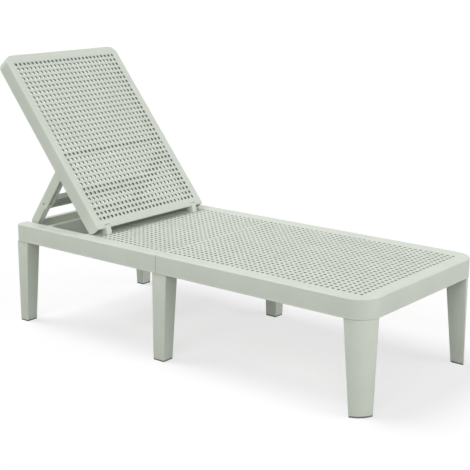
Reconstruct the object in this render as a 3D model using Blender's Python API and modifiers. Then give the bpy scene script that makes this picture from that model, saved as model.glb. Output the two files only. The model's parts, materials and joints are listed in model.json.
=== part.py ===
"""Resin sun lounger: two moulded seat halves on six plug-in legs, a reclining backrest and its folding prop.

Lengths are in metres and angles in degrees. +X is across the lounger, +Y runs from the foot end to the
head end and +Z is up. The seat is modelled from its foot end; the backrest from its hinge axis and the prop
from its own pivot, both lying flat, and empties on the two axes turn them to the position in use.
"""
import math

import bmesh
import bpy
from mathutils import Matrix

# Base, measured from the foot end
BASE_WIDTH = 0.635
DECK_HEIGHT = 0.350
RAIL_DEPTH = 0.0595
RAIL_WIDTH = 0.050
FRONT_RAIL_WIDTH = 0.045
REAR_RAIL_WIDTH = 0.0225
CROSS_RIB_WIDTH = 0.020
POCKET_LENGTH = 0.0845
SEAT_LENGTH = 1.1158
HEEL_SHELF_LENGTH = 0.020
HEEL_SHELF_DROP = 0.0035
SEAM_POSITION = 0.7827
SEAM_GAP = 0.0006
FRONT_CORNER_RADIUS = 0.073
REAR_CORNER_RADIUS = 0.0137
SKIRT_WALL = 0.004
RAIL_ROOF = 0.005
DECK_THICKNESS = 0.008
EDGE_ROUND = 0.003
BEAD_HEIGHT = 0.0035
BEAD_STEP = 0.0008
RIB_WIDTH = 0.0035
RIB_HEIGHT = 0.018

# Seat lattice
SEAT_LATTICE_BORDER = 0.070
SEAT_COLUMNS = 11
FRONT_ROWS = 15
REAR_ROWS = 6
LATTICE_HOLE_SHARE = 0.56
FRONT_LATTICE_START = 0.053
SEAM_BORDER = 0.022
SEAT_END_BORDER = 0.034

# Backrest, measured from its bottom edge
BACKREST_SIDE_GAP = 0.002
BACKREST_LENGTH = 0.702
BACKREST_THICKNESS = 0.048
BACKREST_REST_GAP = 0.0007
BACKREST_PANEL = 0.008
BACKREST_TOP_RADIUS = 0.032
BACKREST_FOOT_RADIUS = 0.004
BACKREST_HEEL_RADIUS = 0.019
BACKREST_LATTICE_BORDER = 0.0367
BACKREST_LATTICE_START = 0.045
BACKREST_TOP_BORDER = 0.030
BACKREST_COLUMNS = 11
BACKREST_ROWS = 15
BACKREST_RIB_HEIGHT = 0.008
RECLINE_ANGLE = 51.1

# Backrest hinge
HINGE_SETBACK = 0.0063
HINGE_INSET = 0.0207
HINGE_FROM_SIDE = 0.049
EAR_WIDTH = 0.018
EAR_LENGTH = 0.0303
EAR_BOSS_RADIUS = 0.0155
EAR_LIP_EDGE = 0.0107
EAR_SIDE_GAP = 0.001
NOTCH_EDGE = 0.0065
BEARING_WALL = 0.004
BEARING_GAP = 0.001
BEARING_REACH = 0.024
PIN_RADIUS = 0.004
PIN_HEAD_RADIUS = 0.006
PIN_HEAD_LENGTH = 0.0018
PIN_OVERHANG = 0.003

# Folding prop
PROP_LENGTH = 0.2422
PROP_PIVOT_ALONG = 0.2499
PROP_PIVOT_DEPTH = 0.028
ARM_RADIUS = 0.0178
ARM_THICKNESS = 0.026
ARM_SIDE_GAP = 0.0005
ARM_STEP_PLACE = 0.1687
ARM_STEP = 0.006
ARM_SLOT_PLACE = 0.1585
ARM_SLOT_LENGTH = 0.009
ARM_SLOT_WIDTH = 0.006
ARM_CHANNEL_DEPTH = 0.010
ARM_CHANNEL_END = 0.024
CROSSBAR_START = 0.103
CROSSBAR_DEPTH = 0.066
CROSSBAR_WALL = 0.0035
CROSSBAR_WEB_PLACE = 0.001
CROSSBAR_RIB_SETBACK = 0.003
CROSSBAR_RIB_SHARE = 0.42
CROSSBAR_FILLET = 0.030
PROP_RIB_LENGTH = 0.060
PROP_RIB_DROP = 0.012
PIN_SOCKET_DEPTH = 0.0028

# Prop seat in the base
POCKET_DEPTH = 0.0157
FOOT_REST_GAP = 0.0005
FOOT_TO_RAIL = 0.0136
FOOT_LEDGE_WIDTH = 0.041
GATE_WIDTH = 0.033

# Legs
LEG_INSET = 0.002
LEG_WALL = 0.004
LEG_FLOOR = 0.016
SPIGOT_HEIGHT = 0.035
SPIGOT_MARGIN = 0.005
SPIGOT_GAP = 0.001
LEG_CORNER_RADIUS = 0.003
FRONT_LEG_INNER_RADIUS = 0.010
FRONT_LEG_WIDTH = 0.066
FRONT_LEG_DEPTH = 0.076
FRONT_LEG_FLOOR_WIDTH = 0.052
FRONT_LEG_FLOOR_DEPTH = 0.053
MIDDLE_LEG_WIDTH = 0.055
MIDDLE_LEG_DEPTH = 0.0577
MIDDLE_LEG_AHEAD_OF_SEAM = 0.039
MIDDLE_LEG_FLOOR_WIDTH = 0.0425
MIDDLE_LEG_FLOOR_DEPTH = 0.044
REAR_LEG_WIDTH = 0.056
REAR_LEG_DEPTH = 0.050
REAR_LEG_FLOOR_WIDTH = 0.0425
REAR_LEG_FLOOR_DEPTH = 0.0345
PAD_HEIGHT = 0.0045
PAD_INSET = 0.0006
PAD_STUD_RADIUS = 0.006
PAD_STUD_HEIGHT = 0.009
STUD_PLACE_SHARE = 0.42

# Bolts that join the seat halves
BOLT_RADIUS = 0.003
BOLT_HEAD_RADIUS = 0.006
BOLT_HEAD_LENGTH = 0.004
BOLT_TAIL = 0.003
BOLT_DEPTH = 0.035
NUT_RADIUS = 0.0062
NUT_LENGTH = 0.005
BOLT_COLUMNS = (-4, -1, 1, 4)

# Clearances, overruns of cutters and sinking of joined pieces
GAP = 0.0003
OVERRUN = 0.010
SINK = 0.0015

# Facets
CORNER_STEPS = 6
REAR_CORNER_STEPS = 4
SMALL_CORNER_STEPS = 2
ROUND_STEPS = 12
ROUND_SIDES = 16
NUT_SIDES = 6

# Derived places on the base
HALF_WIDTH = BASE_WIDTH / 2
WELL_EDGE = HALF_WIDTH - RAIL_WIDTH
RAIL_BOTTOM = DECK_HEIGHT - RAIL_DEPTH
SEAM_FRONT = SEAM_POSITION - SEAM_GAP / 2
SEAM_REAR = SEAM_POSITION + SEAM_GAP / 2
DECK_UNDERSIDE = DECK_HEIGHT - DECK_THICKNESS
ROOF_UNDERSIDE = DECK_HEIGHT - RAIL_ROOF
LEDGE_TOP = DECK_HEIGHT - POCKET_DEPTH
SHELF_END = SEAT_LENGTH + HEEL_SHELF_LENGTH
SHELF_TOP = DECK_HEIGHT - HEEL_SHELF_DROP
SEAT_LATTICE_WIDTH = BASE_WIDTH - 2 * SEAT_LATTICE_BORDER
SEAT_PITCH = SEAT_LATTICE_WIDTH / SEAT_COLUMNS

# Derived places on the hinge and the prop
HALF_THICKNESS = BACKREST_THICKNESS / 2
HALF_BACKREST = WELL_EDGE - BACKREST_SIDE_GAP
BACKREST_LATTICE_WIDTH = 2 * (HALF_BACKREST - BACKREST_LATTICE_BORDER)
HINGE_PLACE = HALF_BACKREST - HINGE_FROM_SIDE
HINGE_Y = SEAT_LENGTH + HINGE_SETBACK
HINGE_Z = DECK_HEIGHT + BACKREST_REST_GAP + HALF_THICKNESS
BACKREST_TOP = BACKREST_LENGTH - HINGE_INSET
PIVOT_ALONG = PROP_PIVOT_ALONG - HINGE_INSET
PIVOT_LIFT = HALF_THICKNESS - PROP_PIVOT_DEPTH
ARM_OUTER = HALF_BACKREST - SKIRT_WALL - ARM_SIDE_GAP
ARM_INNER = ARM_OUTER - ARM_THICKNESS
BORE_RADIUS = PIN_RADIUS + GAP


def turned(point, angle):
    """A point turned about the zero point, anticlockwise."""
    cosine = math.cos(math.radians(angle))
    sine = math.sin(math.radians(angle))
    return (point[0] * cosine - point[1] * sine, point[0] * sine + point[1] * cosine)


PIVOT_OFFSET = turned((PIVOT_ALONG, PIVOT_LIFT), RECLINE_ANGLE)
PIVOT_Y = HINGE_Y + PIVOT_OFFSET[0]
PIVOT_Z = HINGE_Z + PIVOT_OFFSET[1]
FOOT_Z = LEDGE_TOP + FOOT_REST_GAP + ARM_RADIUS
PROP_ANGLE = math.degrees(math.asin((PIVOT_Z - FOOT_Z) / PROP_LENGTH))
FOOT_Y = PIVOT_Y + PROP_LENGTH * math.cos(math.radians(PROP_ANGLE))
PROP_SPREAD = RECLINE_ANGLE + PROP_ANGLE
RAIL_INNER = FOOT_Y + FOOT_TO_RAIL
BASE_LENGTH = RAIL_INNER + REAR_RAIL_WIDTH
POCKET_START = RAIL_INNER - POCKET_LENGTH
RIB_START = POCKET_START - CROSS_RIB_WIDTH
REACH = HINGE_Y + turned((BACKREST_TOP, -HALF_THICKNESS), RECLINE_ANGLE)[0]

COLLECTION_NAME = "sun_lounger"
CUTTER_COLLECTION_NAME = "cutters"
RESIN_COLOUR = (0.64, 0.70, 0.61, 1.0)
PAD_COLOUR = (0.20, 0.22, 0.20, 1.0)
STEEL_COLOUR = (0.55, 0.56, 0.56, 1.0)
RESIN_ROUGHNESS = 0.48
PAD_ROUGHNESS = 0.75
STEEL_ROUGHNESS = 0.35


def clear_scene():
    """Remove every object and make the two collections."""
    for item in list(bpy.data.objects):
        bpy.data.objects.remove(item)
    for name in (COLLECTION_NAME, CUTTER_COLLECTION_NAME):
        bpy.context.scene.collection.children.link(bpy.data.collections.new(name))


def material(name, colour, roughness, metallic=0.0):
    """A Principled material for one part."""
    finish = bpy.data.materials.new(name)
    finish.use_nodes = True
    shader = finish.node_tree.nodes["Principled BSDF"]
    shader.inputs["Base Color"].default_value = colour
    shader.inputs["Roughness"].default_value = roughness
    shader.inputs["Metallic"].default_value = metallic
    finish.diffuse_color = colour
    return finish


def resin(item):
    """Give a part its own resin finish."""
    item.data.materials.clear()
    item.data.materials.append(material(item.name, RESIN_COLOUR, RESIN_ROUGHNESS))


def steel(item):
    """Give a part its own steel finish."""
    item.data.materials.append(material(item.name, STEEL_COLOUR, STEEL_ROUGHNESS, 1.0))


def rubber(item):
    """Give a part its own grey pad finish."""
    item.data.materials.append(material(item.name, PAD_COLOUR, PAD_ROUGHNESS))


def make_object(name, shape, axis):
    """An object from a bmesh, with outward faces, hung on an axis empty."""
    bmesh.ops.recalc_face_normals(shape, faces=shape.faces)
    mesh = bpy.data.meshes.new(name)
    shape.to_mesh(mesh)
    shape.free()
    item = bpy.data.objects.new(name, mesh)
    bpy.data.collections[COLLECTION_NAME].objects.link(item)
    item.parent = axis
    return item


def as_cutter(item):
    """Move an object that only shapes others to the cutters."""
    bpy.data.collections[COLLECTION_NAME].objects.unlink(item)
    bpy.data.collections[CUTTER_COLLECTION_NAME].objects.link(item)
    item.hide_render = True
    item.display_type = "WIRE"


def combine(item, other, operation):
    """Add a Boolean modifier that cuts, joins or intersects with another object."""
    if other.name not in bpy.data.collections[CUTTER_COLLECTION_NAME].objects:
        as_cutter(other)
    modifier = item.modifiers.new(other.name, "BOOLEAN")
    modifier.operation = operation
    modifier.object = other


def cut(item, *cutters):
    """Take shapes away from an object."""
    for cutter in cutters:
        combine(item, cutter, "DIFFERENCE")


def join(item, *additions):
    """Fuse shapes with an object."""
    for addition in additions:
        combine(item, addition, "UNION")


def repeat(item, count, step):
    """Lay out copies of an object in a row."""
    array = item.modifiers.new("row", "ARRAY")
    array.count = count
    array.use_relative_offset = False
    array.use_constant_offset = True
    array.constant_offset_displace = step


def arc(centre, radius, start, end, steps):
    """Points along an arc, from one angle to another."""
    angles = [math.radians(start + (end - start) * step / steps) for step in range(steps + 1)]
    return [(centre[0] + radius * math.cos(angle), centre[1] + radius * math.sin(angle)) for angle in angles]


def outline(low, high, radii, steps=SMALL_CORNER_STEPS):
    """Anticlockwise outline of a rectangle; each corner is round where its radius isn't zero.

    Corners go low-low, high-low, high-high, low-high, and steps may differ from corner to corner.
    """
    steps = (steps,) * 4 if isinstance(steps, int) else steps
    signs = ((1, 1), (-1, 1), (-1, -1), (1, -1))
    corners = ((low[0], low[1]), (high[0], low[1]), (high[0], high[1]), (low[0], high[1]))
    points = []
    for index, (corner, sign, radius) in enumerate(zip(corners, signs, radii)):
        centre = (corner[0] + sign[0] * radius, corner[1] + sign[1] * radius)
        start = 180 + 90 * index
        points += arc(centre, radius, start, start + 90, steps[index]) if radius > 0 else [corner]
    return points


def loft(name, sections, axis):
    """Closed skin through level outlines of as many points each, given from the lowest up."""
    shape = bmesh.new()
    rings = [[shape.verts.new((x, y, height)) for x, y in points] for points, height in sections]
    for lower, upper in zip(rings, rings[1:]):
        for index in range(len(lower)):
            after = (index + 1) % len(lower)
            shape.faces.new((lower[index], lower[after], upper[after], upper[index]))
    shape.faces.new(rings[0][::-1])
    shape.faces.new(rings[-1])
    return make_object(name, shape, axis)


def plate(name, points, low, high, axis, across=False):
    """A flat outline given a thickness along Z, or along X where its outline is in Y and Z."""
    curve = bpy.data.curves.new(name, "CURVE")
    curve.dimensions = "2D"
    curve.fill_mode = "BOTH"
    curve.extrude = (high - low) / 2
    spline = curve.splines.new("POLY")
    spline.points.add(len(points) - 1)
    for knot, (first, second) in zip(spline.points, points):
        knot.co = (first, second, 0, 1)
    spline.use_cyclic_u = True
    guide = bpy.data.objects.new(name, curve)
    bpy.context.scene.collection.objects.link(guide)
    evaluated = guide.evaluated_get(bpy.context.evaluated_depsgraph_get())
    mesh = bpy.data.meshes.new_from_object(evaluated)
    shape = bmesh.new()
    shape.from_mesh(mesh)
    bmesh.ops.remove_doubles(shape, verts=shape.verts, dist=GAP / 100)
    middle = Matrix.Translation((0, 0, (low + high) / 2))
    turn = Matrix(((0, 0, 1, 0), (1, 0, 0, 0), (0, 1, 0, 0), (0, 0, 0, 1))) if across else Matrix.Identity(4)
    bmesh.ops.transform(shape, matrix=turn @ middle, verts=shape.verts)
    bpy.data.objects.remove(guide)
    bpy.data.curves.remove(curve)
    bpy.data.meshes.remove(mesh)
    return make_object(name, shape, axis)


def block(name, low, high, axis):
    """A box between two corners."""
    shape = bmesh.new()
    size = [high[index] - low[index] for index in range(3)]
    middle = [(high[index] + low[index]) / 2 for index in range(3)]
    bmesh.ops.create_cube(shape, size=1, matrix=Matrix.Translation(middle) @ Matrix.Diagonal((*size, 1)))
    return make_object(name, shape, axis)


def rod(name, start, radius, length, axis, direction="X", sides=ROUND_SIDES):
    """A round bar from a point along +X, +Y or +Z."""
    turns = {"X": Matrix.Rotation(math.radians(90), 4, "Y"), "Y": Matrix.Rotation(math.radians(-90), 4, "X")}
    turn = turns.get(direction, Matrix.Identity(4))
    place = Matrix.Translation(start) @ turn @ Matrix.Translation((0, 0, length / 2))
    shape = bmesh.new()
    bmesh.ops.create_cone(
        shape, cap_ends=True, segments=sides, radius1=radius, radius2=radius, depth=length, matrix=place)
    return make_object(name, shape, axis)


def side_range(side, inner, outer):
    """The X range of a feature that is mirrored to either side."""
    return (min(side * inner, side * outer), max(side * inner, side * outer))


def lattice_cutter(name, width, columns, start, end, rows, low, high, axis):
    """The grid of square holes of one woven panel."""
    pitch_across = width / columns
    pitch_along = (end - start) / rows
    hole_across = pitch_across * LATTICE_HOLE_SHARE
    hole_along = pitch_along * LATTICE_HOLE_SHARE
    corner_x = -width / 2 + (pitch_across - hole_across) / 2
    corner_y = start + (pitch_along - hole_along) / 2
    hole = block(name, (corner_x, corner_y, low), (corner_x + hole_across, corner_y + hole_along, high), axis)
    repeat(hole, columns, (pitch_across, 0, 0))
    repeat(hole, rows, (0, pitch_along, 0))
    return hole


def body_sections(start, end, radii, steps, inset_start, inset_end):
    """Level outlines of a seat half: beaded foot, straight skirt and rounded top edge."""
    rises = (
        (0, RAIL_BOTTOM),
        (0, RAIL_BOTTOM + BEAD_HEIGHT),
        (BEAD_STEP, RAIL_BOTTOM + BEAD_HEIGHT + BEAD_STEP),
        (BEAD_STEP, DECK_HEIGHT - EDGE_ROUND),
        (BEAD_STEP + EDGE_ROUND * (1 - math.cos(math.radians(45))),
         DECK_HEIGHT - EDGE_ROUND * (1 - math.sin(math.radians(45)))),
        (BEAD_STEP + EDGE_ROUND, DECK_HEIGHT),
    )
    sections = []
    for inset, height in rises:
        low = (-HALF_WIDTH + inset, start + inset * inset_start)
        high = (HALF_WIDTH - inset, end - inset * inset_end)
        reduced = [radius - inset if radius > 0 else 0 for radius in radii]
        sections.append((outline(low, high, reduced, steps), height))
    return sections


def bolt_holes(name, axis):
    """Cutters for the joining bolts through one or both seam walls."""
    length = 2 * (SKIRT_WALL + OVERRUN)
    cutters = []
    for number, column in enumerate(BOLT_COLUMNS, start=1):
        start = (column * SEAT_PITCH, SEAM_POSITION - length / 2, DECK_HEIGHT - BOLT_DEPTH)
        cutters.append(rod(f"{name}_{number}", start, BOLT_RADIUS + GAP, length, axis, "Y"))
    return cutters


def deck_ribs(name, start, end, first_row, rows, pitch, axis):
    """Stiffening ribs under a lattice: two lengthwise and one between every third pair of rows."""
    low = DECK_UNDERSIDE - RIB_HEIGHT
    high = DECK_UNDERSIDE + SINK
    ribs = []
    for side in (-1, 1):
        middle = side * SEAT_PITCH * 1.5
        ribs.append(block(
            f"{name}_long_{side}", (middle - RIB_WIDTH / 2, start - SINK, low),
            (middle + RIB_WIDTH / 2, end + SINK, high), axis))
    for row in range(3, rows, 3):
        middle = first_row + row * pitch
        ribs.append(block(
            f"{name}_cross_{row}", (-WELL_EDGE - SINK, middle - RIB_WIDTH / 2, low),
            (WELL_EDGE + SINK, middle + RIB_WIDTH / 2, high), axis))
    return ribs


def seat_front(axis):
    """Foot half of the seat: woven deck inside a rail that is open underneath."""
    corner = (FRONT_CORNER_RADIUS, FRONT_CORNER_RADIUS, 0, 0)
    seat = loft("seat_front", body_sections(0, SEAM_FRONT, corner, CORNER_STEPS, 1, 0), axis)
    inner_corner = tuple(radius - SKIRT_WALL if radius > 0 else 0 for radius in corner)
    channel = plate(
        "front_channel",
        outline((-HALF_WIDTH + SKIRT_WALL, SKIRT_WALL), (HALF_WIDTH - SKIRT_WALL, SEAM_FRONT + OVERRUN),
                inner_corner, CORNER_STEPS),
        RAIL_BOTTOM - OVERRUN, ROOF_UNDERSIDE, axis)
    core = block(
        "front_core", (-WELL_EDGE - SKIRT_WALL, FRONT_RAIL_WIDTH, RAIL_BOTTOM - 2 * OVERRUN),
        (WELL_EDGE + SKIRT_WALL, SEAM_FRONT + 2 * OVERRUN, DECK_HEIGHT), axis)
    cut(channel, core)
    recess = block(
        "front_recess", (-WELL_EDGE, FRONT_RAIL_WIDTH + SKIRT_WALL, RAIL_BOTTOM - OVERRUN),
        (WELL_EDGE, SEAM_FRONT - SKIRT_WALL, DECK_UNDERSIDE), axis)
    cut(seat, channel, recess)
    end = SEAM_FRONT - SEAM_BORDER
    cut(seat, lattice_cutter(
        "front_lattice", SEAT_LATTICE_WIDTH, SEAT_COLUMNS, FRONT_LATTICE_START, end, FRONT_ROWS,
        DECK_UNDERSIDE - OVERRUN, DECK_HEIGHT + OVERRUN, axis))
    pitch = (end - FRONT_LATTICE_START) / FRONT_ROWS
    join(seat, *deck_ribs(
        "front_rib", FRONT_RAIL_WIDTH + SKIRT_WALL, SEAM_FRONT - SKIRT_WALL, FRONT_LATTICE_START, FRONT_ROWS,
        pitch, axis))
    cut(seat, *bolt_holes("front_bolt_hole", axis))
    resin(seat)


def ear_outline():
    """Side outline of a hinge ear: its face is flush with the backrest and its boss is round the pin."""
    front_edge = turned((-HINGE_INSET, HALF_THICKNESS), RECLINE_ANGLE)
    lip_edge = turned((-EAR_LIP_EDGE, HALF_THICKNESS), RECLINE_ANGLE)
    lip_lift = math.sqrt(EAR_BOSS_RADIUS ** 2 - EAR_LIP_EDGE ** 2)
    boss_start = math.degrees(math.atan2(lip_lift, -EAR_LIP_EDGE)) + RECLINE_ANGLE
    heel = (SEAT_LENGTH - HINGE_Y, DECK_HEIGHT - HINGE_Z)
    heel_angle = math.degrees(math.atan2(heel[1], heel[0]))
    boss_end = heel_angle + math.degrees(math.acos(EAR_BOSS_RADIUS / math.hypot(*heel)))
    toe = (heel[0] - EAR_LENGTH, heel[1])
    root_drop = DECK_THICKNESS / 2
    points = [(heel[0], heel[1] - root_drop), heel]
    points += arc((0, 0), EAR_BOSS_RADIUS, boss_end, boss_start, ROUND_STEPS)
    points += [lip_edge, front_edge, toe, (toe[0], toe[1] - root_drop)]
    return [(HINGE_Y + y, HINGE_Z + z) for y, z in points]


def seat_rear(axis):
    """Head half: the rest of the deck, the heel shelf, the ears, the well, the cross rib and the pocket."""
    corner = (0, 0, REAR_CORNER_RADIUS, REAR_CORNER_RADIUS)
    seat = loft("seat_rear", body_sections(SEAM_REAR, BASE_LENGTH, corner, REAR_CORNER_STEPS, 0, 1), axis)
    below = RAIL_BOTTOM - OVERRUN
    above = DECK_HEIGHT + OVERRUN
    rear_channel_start = RAIL_INNER + SKIRT_WALL
    rear_channel_end = BASE_LENGTH - SKIRT_WALL
    ledge_inner = WELL_EDGE - FOOT_LEDGE_WIDTH
    gate_inner = WELL_EDGE - GATE_WIDTH
    ledge_underside = LEDGE_TOP - SKIRT_WALL
    cutters = []
    for side in (-1, 1):
        low, high = side_range(side, WELL_EDGE + SKIRT_WALL, HALF_WIDTH - SKIRT_WALL)
        cutters.append(block(
            f"side_channel_{side}", (low, SEAM_REAR - OVERRUN, below), (high, rear_channel_end, ROOF_UNDERSIDE),
            axis))
        low, high = side_range(side, gate_inner, WELL_EDGE)
        cutters.append(block(
            f"gate_{side}", (low, RAIL_INNER - OVERRUN, LEDGE_TOP), (high, BASE_LENGTH + OVERRUN, above), axis))
        low, high = side_range(side, ledge_inner + SKIRT_WALL, WELL_EDGE)
        cutters.append(block(
            f"ledge_recess_{side}", (low, POCKET_START, below), (high, RAIL_INNER, ledge_underside), axis))
    cutters += [
        block("rear_recess", (-WELL_EDGE, SEAM_REAR + SKIRT_WALL, below),
              (WELL_EDGE, SEAT_LENGTH - SKIRT_WALL, DECK_UNDERSIDE), axis),
        block("well", (-WELL_EDGE, SHELF_END, below), (WELL_EDGE, RIB_START, above), axis),
        block("heel_space", (-WELL_EDGE, SEAT_LENGTH, SHELF_TOP), (WELL_EDGE, SHELF_END + OVERRUN, above), axis),
        block("shelf_recess", (-WELL_EDGE, SEAT_LENGTH, below),
              (WELL_EDGE, SHELF_END + OVERRUN, SHELF_TOP - SKIRT_WALL), axis),
        block("rib_channel", (-WELL_EDGE, RIB_START + SKIRT_WALL, below),
              (WELL_EDGE, POCKET_START - SKIRT_WALL, ROOF_UNDERSIDE), axis),
        block("pocket", (-ledge_inner, POCKET_START, below), (ledge_inner, RAIL_INNER, above), axis),
        block("pocket_top", (-WELL_EDGE, POCKET_START, LEDGE_TOP), (WELL_EDGE, RAIL_INNER, above), axis),
        block("rail_channel", (-gate_inner + SKIRT_WALL, rear_channel_start, below),
              (gate_inner - SKIRT_WALL, rear_channel_end, ROOF_UNDERSIDE), axis),
        block("gate_channel", (-WELL_EDGE, rear_channel_start, below),
              (WELL_EDGE, rear_channel_end, ledge_underside), axis),
    ]
    cut(seat, *cutters)
    start = SEAM_REAR + SEAM_BORDER
    end = SEAT_LENGTH - SEAT_END_BORDER
    cut(seat, lattice_cutter(
        "rear_lattice", SEAT_LATTICE_WIDTH, SEAT_COLUMNS, start, end, REAR_ROWS,
        DECK_UNDERSIDE - OVERRUN, above, axis))
    pitch = (end - start) / REAR_ROWS
    join(seat, *deck_ribs(
        "rear_rib", SEAM_REAR + SKIRT_WALL, SEAT_LENGTH - SKIRT_WALL, start, REAR_ROWS, pitch, axis))
    for side in (-1, 1):
        low, high = side_range(side, HINGE_PLACE - EAR_WIDTH / 2, HINGE_PLACE + EAR_WIDTH / 2)
        join(seat, plate(f"ear_{side}", ear_outline(), low, high, axis, across=True))
    bore_length = 2 * (HALF_WIDTH + OVERRUN)
    cut(seat, rod("ear_bore", (-bore_length / 2, HINGE_Y, HINGE_Z), BORE_RADIUS, bore_length, axis))
    cut(seat, *bolt_holes("rear_bolt_hole", axis))
    resin(seat)


def heel_arc(radius, steps):
    """The round heel of the backrest, from its back to its bottom edge, at any radius about its centre."""
    centre = (-HINGE_INSET + BACKREST_HEEL_RADIUS, -HALF_THICKNESS + BACKREST_HEEL_RADIUS)
    return arc(centre, radius, 270, 180, steps)


def bearing_outline():
    """Side outline of a hinge bearing wall inside the backrest."""
    middle = BACKREST_HEEL_RADIUS - SKIRT_WALL / 2
    root = HALF_THICKNESS - BACKREST_PANEL + SINK
    points = heel_arc(middle, ROUND_STEPS // 2)
    points += [(-HINGE_INSET + SKIRT_WALL / 2, root), (BEARING_REACH, root), (BEARING_REACH, -EAR_BOSS_RADIUS / 2)]
    return points[::-1]


def backrest_shell(axis):
    """Outer form of the backrest with its round heel, hollowed from behind."""
    foot = -HINGE_INSET
    radii = (BACKREST_FOOT_RADIUS, BACKREST_FOOT_RADIUS, BACKREST_TOP_RADIUS, BACKREST_TOP_RADIUS)
    steps = (SMALL_CORNER_STEPS, SMALL_CORNER_STEPS, CORNER_STEPS, CORNER_STEPS)
    quarter = math.radians(45)
    sections = []
    for inset, height in (
            (0, -HALF_THICKNESS), (0, HALF_THICKNESS - EDGE_ROUND),
            (EDGE_ROUND * (1 - math.cos(quarter)), HALF_THICKNESS - EDGE_ROUND * (1 - math.sin(quarter))),
            (EDGE_ROUND, HALF_THICKNESS)):
        low = (-HALF_BACKREST + inset, foot)
        high = (HALF_BACKREST - inset, BACKREST_TOP - inset)
        sections.append((outline(low, high, [radius - inset for radius in radii], steps), height))
    shell = loft("backrest", sections, axis)
    heel_out = heel_arc(BACKREST_HEEL_RADIUS, ROUND_STEPS // 2)
    corner = [heel_out[0], *heel_out[1:], (foot - OVERRUN, heel_out[-1][1]),
              (foot - OVERRUN, -HALF_THICKNESS - OVERRUN), (heel_out[0][0], -HALF_THICKNESS - OVERRUN)]
    cut(shell, plate("heel_cutter", corner[::-1], -BASE_WIDTH, BASE_WIDTH, axis, across=True))
    inner_radii = [max(radius - SKIRT_WALL, GAP) for radius in radii]
    hollow = plate(
        "backrest_hollow",
        outline((-HALF_BACKREST + SKIRT_WALL, foot + SKIRT_WALL),
                (HALF_BACKREST - SKIRT_WALL, BACKREST_TOP - SKIRT_WALL), inner_radii, steps),
        -HALF_THICKNESS - OVERRUN, HALF_THICKNESS - BACKREST_PANEL, axis)
    heel_in = heel_arc(BACKREST_HEEL_RADIUS - SKIRT_WALL, ROUND_STEPS // 2)
    profile = [*heel_in, (foot + SKIRT_WALL, HALF_THICKNESS), (BACKREST_TOP, HALF_THICKNESS),
               (BACKREST_TOP, -HALF_THICKNESS - 2 * OVERRUN), (heel_in[0][0], -HALF_THICKNESS - 2 * OVERRUN)]
    side_profile = plate("hollow_profile", profile[::-1], -BASE_WIDTH, BASE_WIDTH, axis, across=True)
    combine(hollow, side_profile, "INTERSECT")
    cut(shell, hollow)
    return shell


def prop_rib_outline():
    """Side outline of the deep part of the rib that carries the prop pin."""
    root = HALF_THICKNESS - BACKREST_PANEL + SINK
    deep = PIVOT_LIFT - PROP_RIB_DROP
    half = PROP_RIB_LENGTH / 2
    return [(PIVOT_ALONG - half, root), (PIVOT_ALONG - half / 2, deep), (PIVOT_ALONG + half / 2, deep),
            (PIVOT_ALONG + half, root)]


def backrest(axis):
    """Backrest: woven panel and skirt in one moulding, with its hinge bearings and prop ribs behind."""
    shell = backrest_shell(axis)
    start = BACKREST_LATTICE_START - HINGE_INSET
    end = BACKREST_TOP - BACKREST_TOP_BORDER
    cut(shell, lattice_cutter(
        "back_lattice", BACKREST_LATTICE_WIDTH, BACKREST_COLUMNS, start, end, BACKREST_ROWS,
        HALF_THICKNESS - BACKREST_PANEL - OVERRUN, HALF_THICKNESS + OVERRUN, axis))
    root = HALF_THICKNESS - BACKREST_PANEL + SINK
    low_rib = HALF_THICKNESS - BACKREST_PANEL - BACKREST_RIB_HEIGHT
    rib_outer = ARM_INNER - ARM_SIDE_GAP
    additions = []
    for side in (-1, 1):
        for edge in (-1, 1):
            near = HINGE_PLACE + edge * (EAR_WIDTH / 2 + EAR_SIDE_GAP + BEARING_GAP)
            low, high = side_range(side, near, near + edge * BEARING_WALL)
            additions.append(plate(f"bearing_{side}_{edge}", bearing_outline(), low, high, axis, across=True))
        low, high = side_range(side, rib_outer - BEARING_WALL, rib_outer)
        additions.append(block(
            f"long_rib_{side}", (low, -HINGE_INSET + SKIRT_WALL / 2, low_rib),
            (high, BACKREST_TOP - SKIRT_WALL / 2, root), axis))
        additions.append(plate(
            f"prop_rib_{side}", prop_rib_outline(), low + GAP, high - GAP, axis, across=True))
    pitch = (end - start) / BACKREST_ROWS
    for row in range(3, BACKREST_ROWS, 3):
        middle = start + row * pitch
        additions.append(block(
            f"back_rib_{row}", (-rib_outer + SINK, middle - RIB_WIDTH / 2, low_rib),
            (rib_outer - SINK, middle + RIB_WIDTH / 2, root), axis))
    join(shell, *additions)
    bore_length = 2 * (HINGE_PLACE + EAR_WIDTH / 2 + EAR_SIDE_GAP + 2 * BEARING_WALL)
    cut(shell, rod("hinge_bore", (-bore_length / 2, 0, 0), BORE_RADIUS, bore_length, axis))
    socket = HALF_BACKREST - SKIRT_WALL + PIN_SOCKET_DEPTH
    cut(shell, rod("prop_bore", (-socket, PIVOT_ALONG, PIVOT_LIFT), BORE_RADIUS, 2 * socket, axis))
    for side in (-1, 1):
        low, high = side_range(
            side, HINGE_PLACE - EAR_WIDTH / 2 - EAR_SIDE_GAP, HINGE_PLACE + EAR_WIDTH / 2 + EAR_SIDE_GAP)
        cut(shell, block(
            f"ear_notch_{side}", (low, -HINGE_INSET - OVERRUN, -HALF_THICKNESS - OVERRUN),
            (high, -NOTCH_EDGE, HALF_THICKNESS + OVERRUN), axis))
        cut(shell, block(
            f"ear_sweep_{side}", (low, -HINGE_INSET - OVERRUN, -HALF_THICKNESS - OVERRUN),
            (high, EAR_BOSS_RADIUS, 0), axis))
    resin(shell)


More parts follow.
